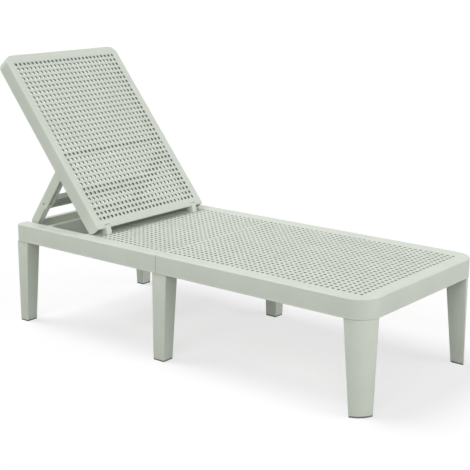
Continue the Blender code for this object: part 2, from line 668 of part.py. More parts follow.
def headed_pin(name, side, inner, outer, along, lift, axis):
    """A pin across the lounger, with a flat head at its inner end."""
    low, high = side_range(side, inner, outer)
    pin = rod(name, (low, along, lift), PIN_RADIUS, high - low, axis)
    low, high = side_range(side, inner - PIN_HEAD_LENGTH, inner + PIN_HEAD_LENGTH / 6)
    join(pin, rod(f"{name}_head", (low, along, lift), PIN_HEAD_RADIUS, high - low, axis))
    steel(pin)


def hinge_pins(base_axis):
    """The two pins of the backrest hinge."""
    inner = HINGE_PLACE - EAR_WIDTH / 2 - EAR_SIDE_GAP - BEARING_GAP - BEARING_WALL - PIN_HEAD_LENGTH / 3
    outer = HINGE_PLACE + EAR_WIDTH / 2 + EAR_SIDE_GAP + BEARING_GAP + BEARING_WALL + PIN_OVERHANG
    for side, word in ((-1, "left"), (1, "right")):
        headed_pin(f"hinge_pin_{word}", side, inner, outer, HINGE_Y, HINGE_Z, base_axis)


def prop_pins(axis):
    """The two pins of the prop's pivot, let into the backrest's skirt."""
    inner = ARM_INNER - ARM_SIDE_GAP - BEARING_WALL - PIN_HEAD_LENGTH / 3
    outer = HALF_BACKREST - SKIRT_WALL + PIN_SOCKET_DEPTH - GAP
    for side, word in ((-1, "left"), (1, "right")):
        headed_pin(f"prop_pin_{word}", side, inner, outer, PIVOT_ALONG, PIVOT_LIFT, axis)


def arm_outline():
    """Side outline of a prop arm: round ends, and a step in its front edge above the foot."""
    low_edge = ARM_STEP - ARM_RADIUS
    foot_start = math.degrees(math.asin(low_edge / ARM_RADIUS))
    points = arc((0, 0), ARM_RADIUS, 90, 270, ROUND_STEPS)
    points += [(ARM_STEP_PLACE - ARM_STEP / 2, -ARM_RADIUS), (ARM_STEP_PLACE, low_edge)]
    points += arc((PROP_LENGTH, 0), ARM_RADIUS, foot_start, 90, ROUND_STEPS)
    return points


def crossbar(axis):
    """The prop's crossbar: a web with two flanges and a middle rib, filleted into the arms below."""
    end = CROSSBAR_START + CROSSBAR_DEPTH
    half = ARM_INNER + SINK
    web_top = CROSSBAR_WEB_PLACE + CROSSBAR_WALL
    bar = block("prop_web", (-half, CROSSBAR_START, CROSSBAR_WEB_PLACE), (half, end, web_top), axis)
    rib_place = CROSSBAR_START + CROSSBAR_RIB_SHARE * CROSSBAR_DEPTH
    for name, place, front in (
            ("upper", CROSSBAR_START, -ARM_RADIUS), ("middle", rib_place, -ARM_RADIUS + CROSSBAR_RIB_SETBACK),
            ("lower", end - CROSSBAR_WALL, -ARM_RADIUS + CROSSBAR_RIB_SETBACK)):
        join(bar, block(f"prop_flange_{name}", (-half + SINK / 3, place, front),
                        (half - SINK / 3, place + CROSSBAR_WALL, web_top), axis))
    for side in (-1, 1):
        corner_x = side * half
        points = [(corner_x, end - SINK), (corner_x, end + CROSSBAR_FILLET)]
        centre = (side * (ARM_INNER - CROSSBAR_FILLET), end + CROSSBAR_FILLET)
        start, stop = (0, -90) if side > 0 else (180, 270)
        points += arc(centre, CROSSBAR_FILLET, start, stop, SMALL_CORNER_STEPS * 2)
        points += [(centre[0], end - SINK)]
        join(bar, plate(f"prop_fillet_{side}", points, CROSSBAR_WEB_PLACE, web_top, axis))
    return bar


def prop_frame(axis):
    """The folding prop: two channelled arms with round feet, and the crossbar between them."""
    frame = crossbar(axis)
    frame.name = "prop_frame"
    bores = []
    for side in (-1, 1):
        low, high = side_range(side, ARM_INNER, ARM_OUTER)
        join(frame, plate(f"arm_{side}", arm_outline(), low, high, axis, across=True))
        half_slot = ARM_SLOT_LENGTH / 2
        half_slot_width = ARM_SLOT_WIDTH / 2
        slot = outline((ARM_SLOT_PLACE - half_slot, -half_slot_width), (ARM_SLOT_PLACE + half_slot, half_slot_width),
                       (half_slot_width - GAP,) * 4)
        bores.append(plate(f"arm_slot_{side}", slot, low - OVERRUN, high + OVERRUN, axis, across=True))
        bores.append(block(
            f"arm_channel_{side}", (low + SKIRT_WALL, ARM_CHANNEL_END, -ARM_RADIUS - OVERRUN),
            (high - SKIRT_WALL, ARM_SLOT_PLACE - ARM_SLOT_LENGTH, -ARM_RADIUS + ARM_CHANNEL_DEPTH), axis))
    reach = ARM_OUTER + OVERRUN
    bores.append(rod("arm_bore", (-reach, 0, 0), BORE_RADIUS, 2 * reach, axis))
    cut(frame, *bores)
    resin(frame)


def leg_outline(inner, outer, span, outer_radius, inner_radius):
    """Outline of a right-hand leg at one level.

    The outer corner at the foot end follows an arc about the rail's own corner centre, cut off where the leg
    ends; the two corners at the head end and the inner one at the foot end are small.
    """
    centre = (outer - outer_radius, span[0] + outer_radius)
    inner_share = min(max((inner - centre[0]) / outer_radius, -1), 1)
    start = -math.degrees(math.acos(max(inner_share, 0)))
    last = min(max((centre[1] - span[1] + inner_radius) / outer_radius, 0), 1)
    end = -math.degrees(math.asin(last))
    rise = max(centre[1] - span[1], 0)
    side_end = centre[0] + math.sqrt(outer_radius ** 2 - rise ** 2)
    points = arc(centre, outer_radius, start, end, CORNER_STEPS)
    points += [(side_end, span[1])]
    points += arc((inner + inner_radius, span[1] - inner_radius), inner_radius, 90, 180, SMALL_CORNER_STEPS)
    if inner_share <= 0:
        points += [(inner, span[0])]
    return points


def leg(name, side, floor_width, top_width, floor_range, top_range, outer_radius, inner_radius, axis):
    """A hollow leg with a spigot that plugs into the rail, and its pad with a stud in the leg's floor.

    The ranges are the leg's extent along the lounger at the floor and at the rail.
    """
    outer_x = HALF_WIDTH - LEG_INSET
    shoulder = RAIL_BOTTOM - GAP
    spigot_top = RAIL_BOTTOM + SPIGOT_HEIGHT
    skirt_face = SKIRT_WALL + SPIGOT_GAP
    spigot_low = skirt_face if top_range[0] < SKIRT_WALL else top_range[0] + SPIGOT_MARGIN
    spigot_high = min(top_range[1] - SPIGOT_MARGIN, BASE_LENGTH - skirt_face)
    spigot_radius = max(outer_radius + LEG_INSET - skirt_face, LEG_CORNER_RADIUS)
    pad_top = PAD_HEIGHT + GAP

    def section(inner, outer, span, radius, shrink=0.0):
        """Outline at one level, mirrored for the left-hand side."""
        points = leg_outline(inner + shrink, outer - shrink, (span[0] + shrink, span[1] - shrink),
                             radius - shrink if radius > 2 * shrink else radius, max(inner_radius - shrink, GAP))
        return [(side * x, y) for x, y in points]

    floor = (outer_x - floor_width, outer_x, floor_range, outer_radius)
    top = (outer_x - top_width, outer_x, top_range, outer_radius)
    spigot = (WELL_EDGE + skirt_face, HALF_WIDTH - skirt_face, (spigot_low, spigot_high), spigot_radius)
    item = loft(name, [
        (section(*floor), pad_top), (section(*top), shoulder),
        (section(*spigot), shoulder), (section(*spigot), spigot_top)], axis)
    cut(item, loft(f"{name}_hollow", [
        (section(*floor, LEG_WALL), pad_top + LEG_FLOOR),
        (section(*spigot, LEG_WALL), spigot_top + GAP)], axis))
    middle = (side * (outer_x - floor_width * (1 - STUD_PLACE_SHARE)),
              floor_range[1] - (floor_range[1] - floor_range[0]) * STUD_PLACE_SHARE)
    stud = (PAD_STUD_RADIUS, PAD_STUD_HEIGHT)
    cut(item, rod(f"{name}_stud_hole", (*middle, 0), stud[0] + GAP, pad_top + stud[1] + GAP, axis, "Z"))
    resin(item)
    pad = loft(name.replace("leg", "foot_pad"), [
        (section(*floor, PAD_INSET), 0), (section(*floor, PAD_INSET), PAD_HEIGHT)], axis)
    stud_base = PAD_HEIGHT / 2
    join(pad, rod(f"{name}_stud", (*middle, stud_base), stud[0], PAD_HEIGHT + stud[1] - stud_base, axis, "Z"))
    rubber(pad)


def legs(axis):
    """Six legs: round-cornered ones at the foot end, square ones at the seam and at the head end."""
    rear_end = BASE_LENGTH - LEG_INSET
    middle_start = SEAM_POSITION - MIDDLE_LEG_AHEAD_OF_SEAM
    middle_end = middle_start + MIDDLE_LEG_DEPTH
    front_radius = FRONT_CORNER_RADIUS - LEG_INSET
    small = LEG_CORNER_RADIUS
    for side, word in ((-1, "left"), (1, "right")):
        leg(f"leg_front_{word}", side, FRONT_LEG_FLOOR_WIDTH, FRONT_LEG_WIDTH,
            (LEG_INSET, LEG_INSET + FRONT_LEG_FLOOR_DEPTH), (LEG_INSET, LEG_INSET + FRONT_LEG_DEPTH),
            front_radius, FRONT_LEG_INNER_RADIUS, axis)
        leg(f"leg_middle_{word}", side, MIDDLE_LEG_FLOOR_WIDTH, MIDDLE_LEG_WIDTH,
            (middle_end - MIDDLE_LEG_FLOOR_DEPTH, middle_end), (middle_start, middle_end), small, small, axis)
        leg(f"leg_rear_{word}", side, REAR_LEG_FLOOR_WIDTH, REAR_LEG_WIDTH,
            (rear_end - REAR_LEG_FLOOR_DEPTH, rear_end), (rear_end - REAR_LEG_DEPTH, rear_end), small, small, axis)


def joining_bolts(axis):
    """Bolts with round heads and hexagonal nuts, through the two walls at the seam."""
    height = DECK_HEIGHT - BOLT_DEPTH
    head_end = SEAM_FRONT - SKIRT_WALL - GAP
    nut_start = SEAM_REAR + SKIRT_WALL + GAP
    tail = nut_start + NUT_LENGTH + BOLT_TAIL
    for number, column in enumerate(BOLT_COLUMNS, start=1):
        place = column * SEAT_PITCH
        bolt = rod(f"joining_bolt_{number}", (place, head_end - BOLT_HEAD_LENGTH / 2, height), BOLT_RADIUS,
                   tail - head_end + BOLT_HEAD_LENGTH / 2, axis, "Y")
        join(bolt, rod(f"bolt_head_{number}", (place, head_end - BOLT_HEAD_LENGTH, height), BOLT_HEAD_RADIUS,
                       BOLT_HEAD_LENGTH, axis, "Y"))
        steel(bolt)
        nut = rod(f"joining_nut_{number}", (place, nut_start, height), NUT_RADIUS, NUT_LENGTH, axis, "Y", NUT_SIDES)
        cut(nut, rod(f"nut_bore_{number}", (place, nut_start - OVERRUN, height), BOLT_RADIUS + GAP,
                     NUT_LENGTH + 2 * OVERRUN, axis, "Y"))
        steel(nut)


def axis_empty(name, place, parent=None, turn=0.0):
    """An empty that stands on an axis across the lounger and carries what turns on it."""
    empty = bpy.data.objects.new(name, None)
    bpy.data.collections[COLLECTION_NAME].objects.link(empty)
    empty.parent = parent
    empty.location = place
    empty.rotation_euler = (math.radians(turn), 0, 0)
    return empty


def main():
    """Build the whole lounger, centred on the middle of its length in use."""
    clear_scene()
    base = axis_empty("base_axis", (0, -REACH / 2, 0))
    hinge = axis_empty("hinge_axis", (0, HINGE_Y, HINGE_Z), base, RECLINE_ANGLE)
    pivot = axis_empty("prop_axis", (0, PIVOT_ALONG, PIVOT_LIFT), hinge, -PROP_SPREAD)
    seat_front(base)
    seat_rear(base)
    backrest(hinge)
    prop_frame(pivot)
    legs(base)
    hinge_pins(base)
    prop_pins(hinge)
    joining_bolts(base)


main()
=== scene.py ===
"""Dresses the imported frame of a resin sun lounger.

The woven mouldings of the seat and the backrest are worked out here as surfaces at their real pitch. The
legs and the prop are copies of the frame's with softened edges, and the pads and fittings are the frame's
own. Lengths are in metres, in the frame's axes: +X across the lounger, +Y from the foot end to the head
end, +Z up.
"""
import json
import math

import bmesh
import bpy
import numpy as np
from bpy.props import FloatProperty, FloatVectorProperty, IntProperty, PointerProperty
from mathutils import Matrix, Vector


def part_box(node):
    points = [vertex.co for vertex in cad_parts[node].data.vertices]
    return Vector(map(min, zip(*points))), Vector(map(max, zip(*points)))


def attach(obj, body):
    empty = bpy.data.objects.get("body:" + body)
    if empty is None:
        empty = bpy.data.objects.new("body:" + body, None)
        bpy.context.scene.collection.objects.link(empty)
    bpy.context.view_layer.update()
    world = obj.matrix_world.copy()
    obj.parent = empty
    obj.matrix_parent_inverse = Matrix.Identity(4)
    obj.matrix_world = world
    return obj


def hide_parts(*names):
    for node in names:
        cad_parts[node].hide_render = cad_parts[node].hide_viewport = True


bl_info = {
    "name": "Resin sun lounger",
    "version": (1, 0, 0),
    "blender": (4, 5, 0),
    "location": "View3D > Sidebar > Lounger",
    "description": "Woven resin mouldings, legs, prop and fittings of a sun lounger on its packed frame",
    "category": "Object",
}

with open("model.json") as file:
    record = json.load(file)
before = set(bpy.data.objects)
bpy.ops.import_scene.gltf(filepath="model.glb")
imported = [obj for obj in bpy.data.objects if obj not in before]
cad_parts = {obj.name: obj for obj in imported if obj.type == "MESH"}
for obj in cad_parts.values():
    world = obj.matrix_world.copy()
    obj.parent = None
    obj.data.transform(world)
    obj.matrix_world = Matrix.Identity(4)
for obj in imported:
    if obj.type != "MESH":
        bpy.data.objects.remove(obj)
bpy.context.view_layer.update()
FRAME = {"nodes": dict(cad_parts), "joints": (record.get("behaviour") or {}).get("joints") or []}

# Places that the frame gives
FRONT_LOW, FRONT_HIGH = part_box("seat_front")
REAR_LOW, REAR_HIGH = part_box("seat_rear")
HALF_WIDTH = FRONT_HIGH.x
DECK_TOP = FRONT_HIGH.z
RAIL_BOTTOM = FRONT_LOW.z
FOOT_END = FRONT_LOW.y
HEAD_END = REAR_HIGH.y
SEAM_FRONT = FRONT_HIGH.y
SEAM_REAR = REAR_LOW.y
JOINTS = {joint["name"]: joint for joint in FRAME["joints"]}
HINGE_PLACE = Vector(JOINTS["backrest_recline"]["pos_m"])
RECLINE = math.radians(-JOINTS["backrest_recline"]["range_deg"][0])
PROP_PIVOT = np.array(JOINTS["prop_swing"]["pos_m"])

# The base, measured from the foot end or in from the rail's outer face
RAIL_WIDTH = 0.050
FRONT_RADIUS = 0.073
REAR_RADIUS = 0.0137
SKIRT = 0.004
ROOF = 0.005
BEAD_HEIGHT = 0.0035
BEAD_STEP = 0.0004
SEAT_LENGTH = 1.1158
LATTICE_SIDE = 0.048
LATTICE_FOOT = 0.0465
LATTICE_SEAM = 0.0025
LATTICE_HEAD = 0.026
SEAM_SLOT = 0.0015
SEAM_SLOT_DEPTH = 0.0028
SHELF_LENGTH = 0.026
SHELF_DROP = 0.0010
CROSS_RIB = 0.020
POCKET = 0.0845
REAR_RAIL = 0.0225
LEDGE_DROP = 0.0157
LEDGE_WIDTH = 0.041
LEDGE_ROUND = 0.001
GATE_WIDTH = 0.033
RIB_WIDTH = 0.0035
RIB_HEIGHT = 0.018
RIB_CELLS = 6
SEAT_END = FOOT_END + SEAT_LENGTH
WELL_HALF = HALF_WIDTH - RAIL_WIDTH
PANEL_HALF = HALF_WIDTH - LATTICE_SIDE

# The hinge lugs, about the hinge
LUG_MIDDLE = 0.2165
LUG_WIDTH = 0.0215
LUG_LENGTH = 0.0303
LUG_BOSS = 0.0180
LUG_LIP = 0.0107
LUG_GAP = 0.001
LUG_SOFT = 0.0006
HINGE_SETBACK = 0.0063

# The backrest, lying flat and measured from its hinge
BACK_HALF_WIDTH = 0.2655
BACK_HALF_THICKNESS = 0.024
BACK_FOOT = -0.0207
BACK_TOP = 0.6813
BACK_TOP_RADIUS = 0.032
BACK_FOOT_RADIUS = 0.004
BACK_LEAST_RADIUS = 0.0004
BACK_LATTICE_HALF = 0.2412
BACK_LATTICE_FOOT = 0.0052
BACK_LATTICE_HEAD = 0.6516
BACK_RIB_HEIGHT = 0.008
BACK_RIB_CELLS = 7
DEEP_RIB_ROW = 14
DEEP_RIB_HEIGHT = 0.029
BACK_WALL = 0.003
BACK_WALL_SETBACK = 0.002
BACK_WALL_END = -0.020
NOTCH_EDGE = 0.0086
NOTCH_DEPTH = 0.0190
HEEL_RADIUS = 0.019
HEEL_EDGE_SHARE = 0.6
HEEL_SLOT_LOW = -0.0200
HEEL_SLOT_HIGH = 0.0205
HEEL_SLOT_DEPTH = 0.0012
HEEL_SLOT_END_ANGLE = 240
BEARING_WALL = 0.004
BEARING_REACH = 0.024
PIVOT_ALONG = 0.2292
PIVOT_LIFT = -0.004
PROP_RIB_OUTER = 0.2345
PROP_RIB_LENGTH = 0.060
PROP_RIB_DROP = 0.012
PROP_BAY = (0.192, 0.496)
BAY_RIB_REACH = 0.200

# The prop, along its arm from the pivot to its foot at a place in Y and Z, and the legs' shoulders
PROP_FOOT = (0.62438, 0.3526)
PROP_ARM_INNER = 0.235
PROP_BAR_KEPT = 0.150
PROP_BAR_BEFORE = (0.060, 0.073, 0.103, 0.169, 0.199, 0.212)
PROP_BAR_AFTER = (0.060, 0.095, 0.125, 0.175, 0.205, 0.212)
LEG_SHADOW = 0.0012

# The holes of the weave: the roundness of their outline, and their lip and throat below the crest
HOLE_POWER = 3.4
LIP_SHARE = 1.20
LIP_DROP = 0.0007
THROAT_DROP = 0.0022
THIRDS = 3
RING_POINTS = 4 * THIRDS

# Shared small sizes and steps
SQUARE = (0, 0, 0, 0)
SINK = 0.001
TINY = 1e-9
MERGE = 0.00001
STRAIGHT_SINE = 0.02
ROUND_STEPS = 5
CORNER_STEPS = 8
BOSS_STEPS = 24
HEEL_STEPS = 7
BEVEL_STEPS = 3
SMOOTH_ANGLE = math.radians(34)
FLAT_ANGLE = math.radians(1)

# The finishes and the stage
NOISE_MIDDLE = (0.3, 0.7)
RESIN_DRIFT = 0.03
PAD_DRIFT = 0.15
SATIN_LESS = 0.06
SATIN_MORE = 0.08
PAD_GRAIN = 0.0001
STEEL_GRAIN = 0.00002
FLOOR_REACH = 30.0
VIEW_REACH = 100


# Settings


def length_setting(name, description, default, **more):
    """Setting that holds a length in metres."""
    return FloatProperty(name=name, description=description, default=default, unit="LENGTH", **more)


def colour_setting(name, description, default):
    """Setting that holds a colour."""
    return FloatVectorProperty(name=name, description=description, default=default, subtype="COLOR", size=4,
                               min=0, max=1)


class LoungerSizes(bpy.types.PropertyGroup):
    """Sizes of the woven panels and of the softened edges."""

    seat_columns: IntProperty(name="Seat columns", description="Holes across the seat", default=27, min=4)
    front_rows: IntProperty(
        name="Front rows", description="Rows of holes in the foot half", default=38, min=4)
    rear_rows: IntProperty(name="Rear rows", description="Rows of holes in the head half", default=16, min=2)
    back_columns: IntProperty(
        name="Backrest columns", description="Holes across the backrest", default=26, min=4)
    back_rows: IntProperty(
        name="Backrest rows", description="Rows of holes along the backrest", default=33, min=4)
    hole_share: FloatProperty(
        name="Hole share", description="Width of the backrest's holes as a share of their pitch",
        default=0.50, min=0.2, max=0.8)
    seat_hole_share: FloatProperty(
        name="Seat hole share", description="The same share on the seat", default=0.48, min=0.2, max=0.8)
    sheet: length_setting("Panel thickness", "Thickness of the seat's woven panels", 0.005)
    weave: length_setting(
        "Weave relief", "How far a strand of the seat dips where it passes under another", 0.0009)
    back_weave: length_setting("Backrest weave relief", "The same dip on the backrest", 0.0016)
    back_sheet: length_setting("Backrest panel thickness", "Thickness of the backrest's woven panel", 0.0065)
    edge_round: length_setting("Edge rounding", "Radius of the mouldings' upper edges", 0.003)
    soft_edge: length_setting("Soft edge", "Width of the bevel on the legs and the prop", 0.0007)


class LoungerFinish(bpy.types.PropertyGroup):
    """Colours and surface of the resin, the pads and the steel."""

    resin: colour_setting("Resin", "Colour of the moulded resin", (0.658, 0.70, 0.626, 1))
    resin_roughness: FloatProperty(name="Resin roughness", description="Satin of the resin", default=0.46)
    # Painted shade: the resin's colour inside the holes, as a share of its own, stands in for their walls'
    # shade
    hole_painted_shade: FloatProperty(
        name="Hole tone", description="How dark the resin is inside the holes, as a share", default=0.26)
    grain: length_setting("Grain", "Height of the moulded grain", 0.00006, precision=6)
    pad: colour_setting("Pads", "Colour of the foot pads", (0.16, 0.18, 0.16, 1))
    steel: colour_setting("Steel", "Colour of the pins and bolts", (0.55, 0.56, 0.56, 1))


class LoungerStage(bpy.types.PropertyGroup):
    """Light, floor and camera."""

    sky: FloatProperty(name="Sky", description="Strength of the even light", default=0.16)
    high_lamp: FloatProperty(name="High lamp", description="Strength of the lamp above", default=1.84)
    high_from: FloatVectorProperty(
        name="High lamp from", description="Direction that the lamp above shines from", subtype="XYZ",
        size=3, default=(-0.10, 0.42, 0.90))
    high_width: FloatProperty(
        name="High lamp width", description="How wide the lamp above looks", default=math.radians(34),
        unit="ROTATION")
    side_lamp: FloatProperty(
        name="Side lamp", description="Strength of the lamp at the near side", default=1.28)
    side_from: FloatVectorProperty(
        name="Side lamp from", description="Direction that the near side's lamp shines from", subtype="XYZ",
        size=3, default=(-0.80, -0.35, 0.42))
    foot_lamp: FloatProperty(
        name="Foot lamp", description="Strength of the lamp at the foot end", default=1.50)
    foot_from: FloatVectorProperty(
        name="Foot lamp from", description="Direction that the foot end's lamp shines from", subtype="XYZ",
        size=3, default=(0.30, -0.93, 0.18))
    lamp_width: FloatProperty(
        name="Lamp width", description="How wide the other two lamps look", default=math.radians(50),
        unit="ROTATION")
    floor: colour_setting("Floor", "Colour of the floor as it lights the lounger", (0.39, 0.40, 0.36, 1))
    floor_seen: colour_setting(
        "Floor seen", "Colour of the floor in the picture, below its lift", (0.40, 0.40, 0.40, 1))
    floor_lift: FloatProperty(
        name="Floor lift", description="White that the camera sees on top of the lit floor", default=0.63)
    lens: FloatProperty(name="Lens", description="Focal length in millimetres", default=88.0)
    heading: FloatProperty(
        name="Heading", description="Direction of view from +X towards +Y", default=0.6843, unit="ROTATION")
    tilt: FloatProperty(
        name="Tilt", description="Downward tilt of the view", default=0.2467, unit="ROTATION")
    place: FloatVectorProperty(
        name="Place", description="Where the camera stands", subtype="XYZ", size=3, unit="LENGTH",
        default=(-2.8457, -2.3846, 1.2874))


# Outlines and surfaces


def side_points(length, first, last, count):
    """Run and inset of points on one side of a rounded rectangle.

    The side starts half way round its first corner's arc and ends half way round its last one, in equal
    steps. On an arc of radius r, at an angle a from the straight, the run is r - r sin a and the inset
    r - r cos a.
    """
    head = first * math.pi / 4
    tail = last * math.pi / 4
    straight = length - first - last
    step = np.linspace(0, head + straight + tail, count, endpoint=False)
    turn_in = np.clip(head - step, 0, None) / max(first, TINY)
    turn_out = np.clip(step - head - straight, 0, None) / max(last, TINY)
    run = first + np.clip(step - head, 0, straight) - first * np.sin(turn_in) + last * np.sin(turn_out)
    return run, first * (1 - np.cos(turn_in)) + last * (1 - np.cos(turn_out))


def rounded_loop(low, high, radii, across, along, height):
    """Points round a level rectangle whose corners have their own radii, as many on each side as is asked.

    Corners go low-low, high-low, high-high and low-high.
    """
    width, length = high[0] - low[0], high[1] - low[1]
    run, inset = side_points(width, radii[0], radii[1], across)
    foot = np.stack([low[0] + run, low[1] + inset], 1)
    run, inset = side_points(length, radii[1], radii[2], along)
    right = np.stack([high[0] - inset, low[1] + run], 1)
    run, inset = side_points(width, radii[2], radii[3], across)
    head = np.stack([high[0] - run, high[1] - inset], 1)
    run, inset = side_points(length, radii[3], radii[0], along)
    left = np.stack([low[0] + inset, high[1] - run], 1)
    points = np.concatenate([foot, right, head, left])
    return np.column_stack([points, np.full(len(points), height)])


def band_faces(rings, count, closed):
    """Quads between rings of as many points each; the last ring joins the first where the band is closed."""
    last = rings if closed else rings - 1
    ring = np.arange(last)[:, None] * count
    above = (np.arange(last)[:, None] + 1) % rings * count
    here = np.arange(count)[None, :]
    after = (here + 1) % count
    return np.stack([ring + here, ring + after, above + after, above + here], -1).reshape(-1, 4).tolist()


def closed_band(loops):
    """Closed body swept through loops, from the first round to the first again."""
    stack = np.array(loops)
    return stack.reshape(-1, 3), band_faces(len(stack), stack.shape[1], True)


def arc(centre, radius, start, end, steps):
    """Points at even angles on an arc, in degrees: centre + radius (cos a, sin a)."""
    angle = np.radians(np.linspace(start, end, steps + 1))
    return np.stack([centre[0] + radius * np.cos(angle), centre[1] + radius * np.sin(angle)], 1)


def inset_outline(points, weights, distance):
    """An anticlockwise outline moved inwards.

    Each corner moves to where its two edges meet again after each has gone in by distance times its own
    weight: the shift s solves n1.s = d w1 and n2.s = d w2 for the inward normals n1 and n2.
    """
    inward = points - np.roll(points, 1, 0)
    inward = np.stack([-inward[:, 1], inward[:, 0]], 1)
    inward /= np.linalg.norm(inward, axis=1)[:, None]
    outward = np.roll(inward, -1, 0)
    first, second = distance * weights[:, 0], distance * weights[:, 1]
    cross = inward[:, 0] * outward[:, 1] - inward[:, 1] * outward[:, 0]
    bent = np.abs(cross) > STRAIGHT_SINE
    safe = np.where(bent, cross, 1)
    mitre = np.stack([first * outward[:, 1] - second * inward[:, 1],
                      second * inward[:, 0] - first * outward[:, 0]], 1)
    level = inward * ((first + second) / 2)[:, None]
    return points + np.where(bent[:, None], mitre / safe[:, None], level)


def prism(points, levels, weights=None, hollow=None, across=False):
    """Closed body through one outline at several levels, each a pair of inset and height.

    With hollow, a pair of wall and roof, it is open below: the inner wall is the outline inset by the wall,
    up to the roof's underside. Across turns the outline into Y and Z, and the height into X.
    """
    points = np.array(points, float)
    weights = np.ones_like(points) if weights is None else np.array(weights, float)
    loops = [np.column_stack([inset_outline(points, weights, inset), np.full(len(points), height)])
             for inset, height in levels]
    if hollow:
        inner = inset_outline(points, np.ones_like(points), hollow[0])
        loops = [np.column_stack([inner, np.full(len(points), height)])
                 for height in (levels[-1][1] - hollow[1], levels[0][1])] + loops
    stack = np.array(loops)
    count = stack.shape[1]
    faces = band_faces(len(stack), count, False)
    faces.append(list(range(count))[::-1])
    faces.append(list(range((len(stack) - 1) * count, len(stack) * count)))
    vertices = stack.reshape(-1, 3)
    return (vertices[:, [2, 0, 1]] if across else vertices), faces


def slab(points, low, high):
    """Closed body with its outline in Y and Z, between two places across the lounger."""
    return prism(points, [(0, low), (0, high)], across=True)


def box(low, high):
    """Closed box between two corners."""
    corners = [(low[0], low[1]), (high[0], low[1]), (high[0], high[1]), (low[0], high[1])]
    return prism(corners, [(0, low[2]), (0, high[2])])


def side_span(side, inner, outer):
    """Low and high end of a span on one side of the middle, -1 or 1."""
    return sorted((side * inner, side * outer))


def woven_sheet(low, high, columns, rows, top, thickness, weave, hole_share):
    """Closed sheet of woven strands with a rounded square hole in each cell of a grid.

    A hole's edge is the superellipse |x|^n + |y|^n = 1. Along a strand that is u cells long so far the crest
    is top - weave (1 - cos(pi u)) / 2, so it is highest over one crossing and lowest next to the following
    one, where the other strand lies on top. From the crest the surface falls to the hole's lip and its
    throat, and from the throat down a place counts as deep in the hole. Deep places get painted shade: the
    resin's colour is darkened there to stand in for the shade on the holes' walls.
    """
    pitch = np.array([(high[0] - low[0]) / columns, (high[1] - low[1]) / rows])
    half = pitch * hole_share / 2
    bottom = top - thickness
    # Twelve points round a cell, in thirds of its pitch
    ring_x = np.array([0, 1, 2, 3, 3, 3, 3, 2, 1, 0, 0, 0])
    ring_y = np.array([0, 0, 0, 0, 1, 2, 3, 3, 3, 3, 2, 1])
    unit = np.stack([ring_x, ring_y], 1) * 2 / THIRDS - 1
    round_square = unit / (np.abs(unit) ** HOLE_POWER).sum(1)[:, None] ** (1 / HOLE_POWER)
    row, column = np.meshgrid(np.arange(rows), np.arange(columns), indexing="ij")
    middle = np.stack([low[0] + (column + 0.5) * pitch[0], low[1] + (row + 0.5) * pitch[1]], -1)
    middle = middle[:, :, None, :]

    wide, tall = THIRDS * columns + 1, THIRDS * rows + 1
    grid_y, grid_x = np.meshgrid(np.arange(tall), np.arange(wide), indexing="ij")
    along_x, along_y = grid_x / THIRDS, grid_y / THIRDS
    on_row, on_column = grid_y % THIRDS == 0, grid_x % THIRDS == 0
    crest_x = np.cos(np.pi * along_x) * np.where(np.round(along_y) % 2 == 0, 1, -1)
    crest_y = -np.cos(np.pi * along_y) * np.where(np.round(along_x) % 2 == 0, 1, -1)
    crest = np.where(on_row & on_column, 1, np.where(on_row, crest_x, crest_y))
    edge = (grid_x == 0) | (grid_x == wide - 1) | (grid_y == 0) | (grid_y == tall - 1)
    crest = np.where(edge, 1, crest)
    flat = np.stack([low[0] + along_x * pitch[0], low[1] + along_y * pitch[1]], -1).reshape(-1, 2)
    upper = np.column_stack([flat, (top - weave * (1 - crest) / 2).ravel()])
    lower = np.column_stack([flat, np.full(len(flat), bottom)])

    def ring(scale, height):
        """One ring round every hole, at a share of the hole's size and one height."""
        places = middle + round_square * half * scale
        return np.concatenate([places, np.full(places.shape[:3] + (1,), height)], -1).reshape(-1, 3)

    lip, throat, foot = ring(LIP_SHARE, top - LIP_DROP), ring(1, top - THROAT_DROP), ring(1, bottom)
    vertices = np.concatenate([upper, lower, lip, throat, foot])
    grid_size, cell_size = len(flat), len(lip)
    cell = 2 * grid_size + (row * columns + column)[:, :, None] * RING_POINTS + np.arange(RING_POINTS)
    corner = (THIRDS * row[:, :, None] + ring_y) * wide + THIRDS * column[:, :, None] + ring_x
    rings = [corner, cell, cell + cell_size, cell + 2 * cell_size, corner + grid_size]

    def joined(first, second):
        """Quads between two rings of every cell."""
        return np.stack([first, np.roll(first, -1, 2), np.roll(second, -1, 2), second], -1).reshape(-1, 4)

    quads = [joined(first, second) for first, second in zip(rings, rings[1:])]
    every = slice(None)
    # Walls round the sheet, on the border cells of each side in turn
    for side, cells in enumerate([(0, every), (every, -1), (-1, every), (every, 0)]):
        border = corner[cells]
        step = side * THIRDS + np.arange(THIRDS)
        start, end = border[:, step], border[:, (step + 1) % RING_POINTS]
        quads.append(np.stack([start, end, end + grid_size, start + grid_size], -1).reshape(-1, 4))
    quads = np.concatenate(quads)
    # Places from the throat down are marked deep, for the painted shade of the holes' walls
    depth = np.zeros(len(vertices))
    depth[2 * grid_size + cell_size:] = 1
    used, places = np.unique(quads, return_inverse=True)
    return vertices[used], places.reshape(quads.shape).tolist(), depth[used]


def placed(name, data):
    """Object for a mesh, lamp or camera, in the scene."""
    item = bpy.data.objects.new(name, data)
    bpy.context.scene.collection.objects.link(item)
    return item


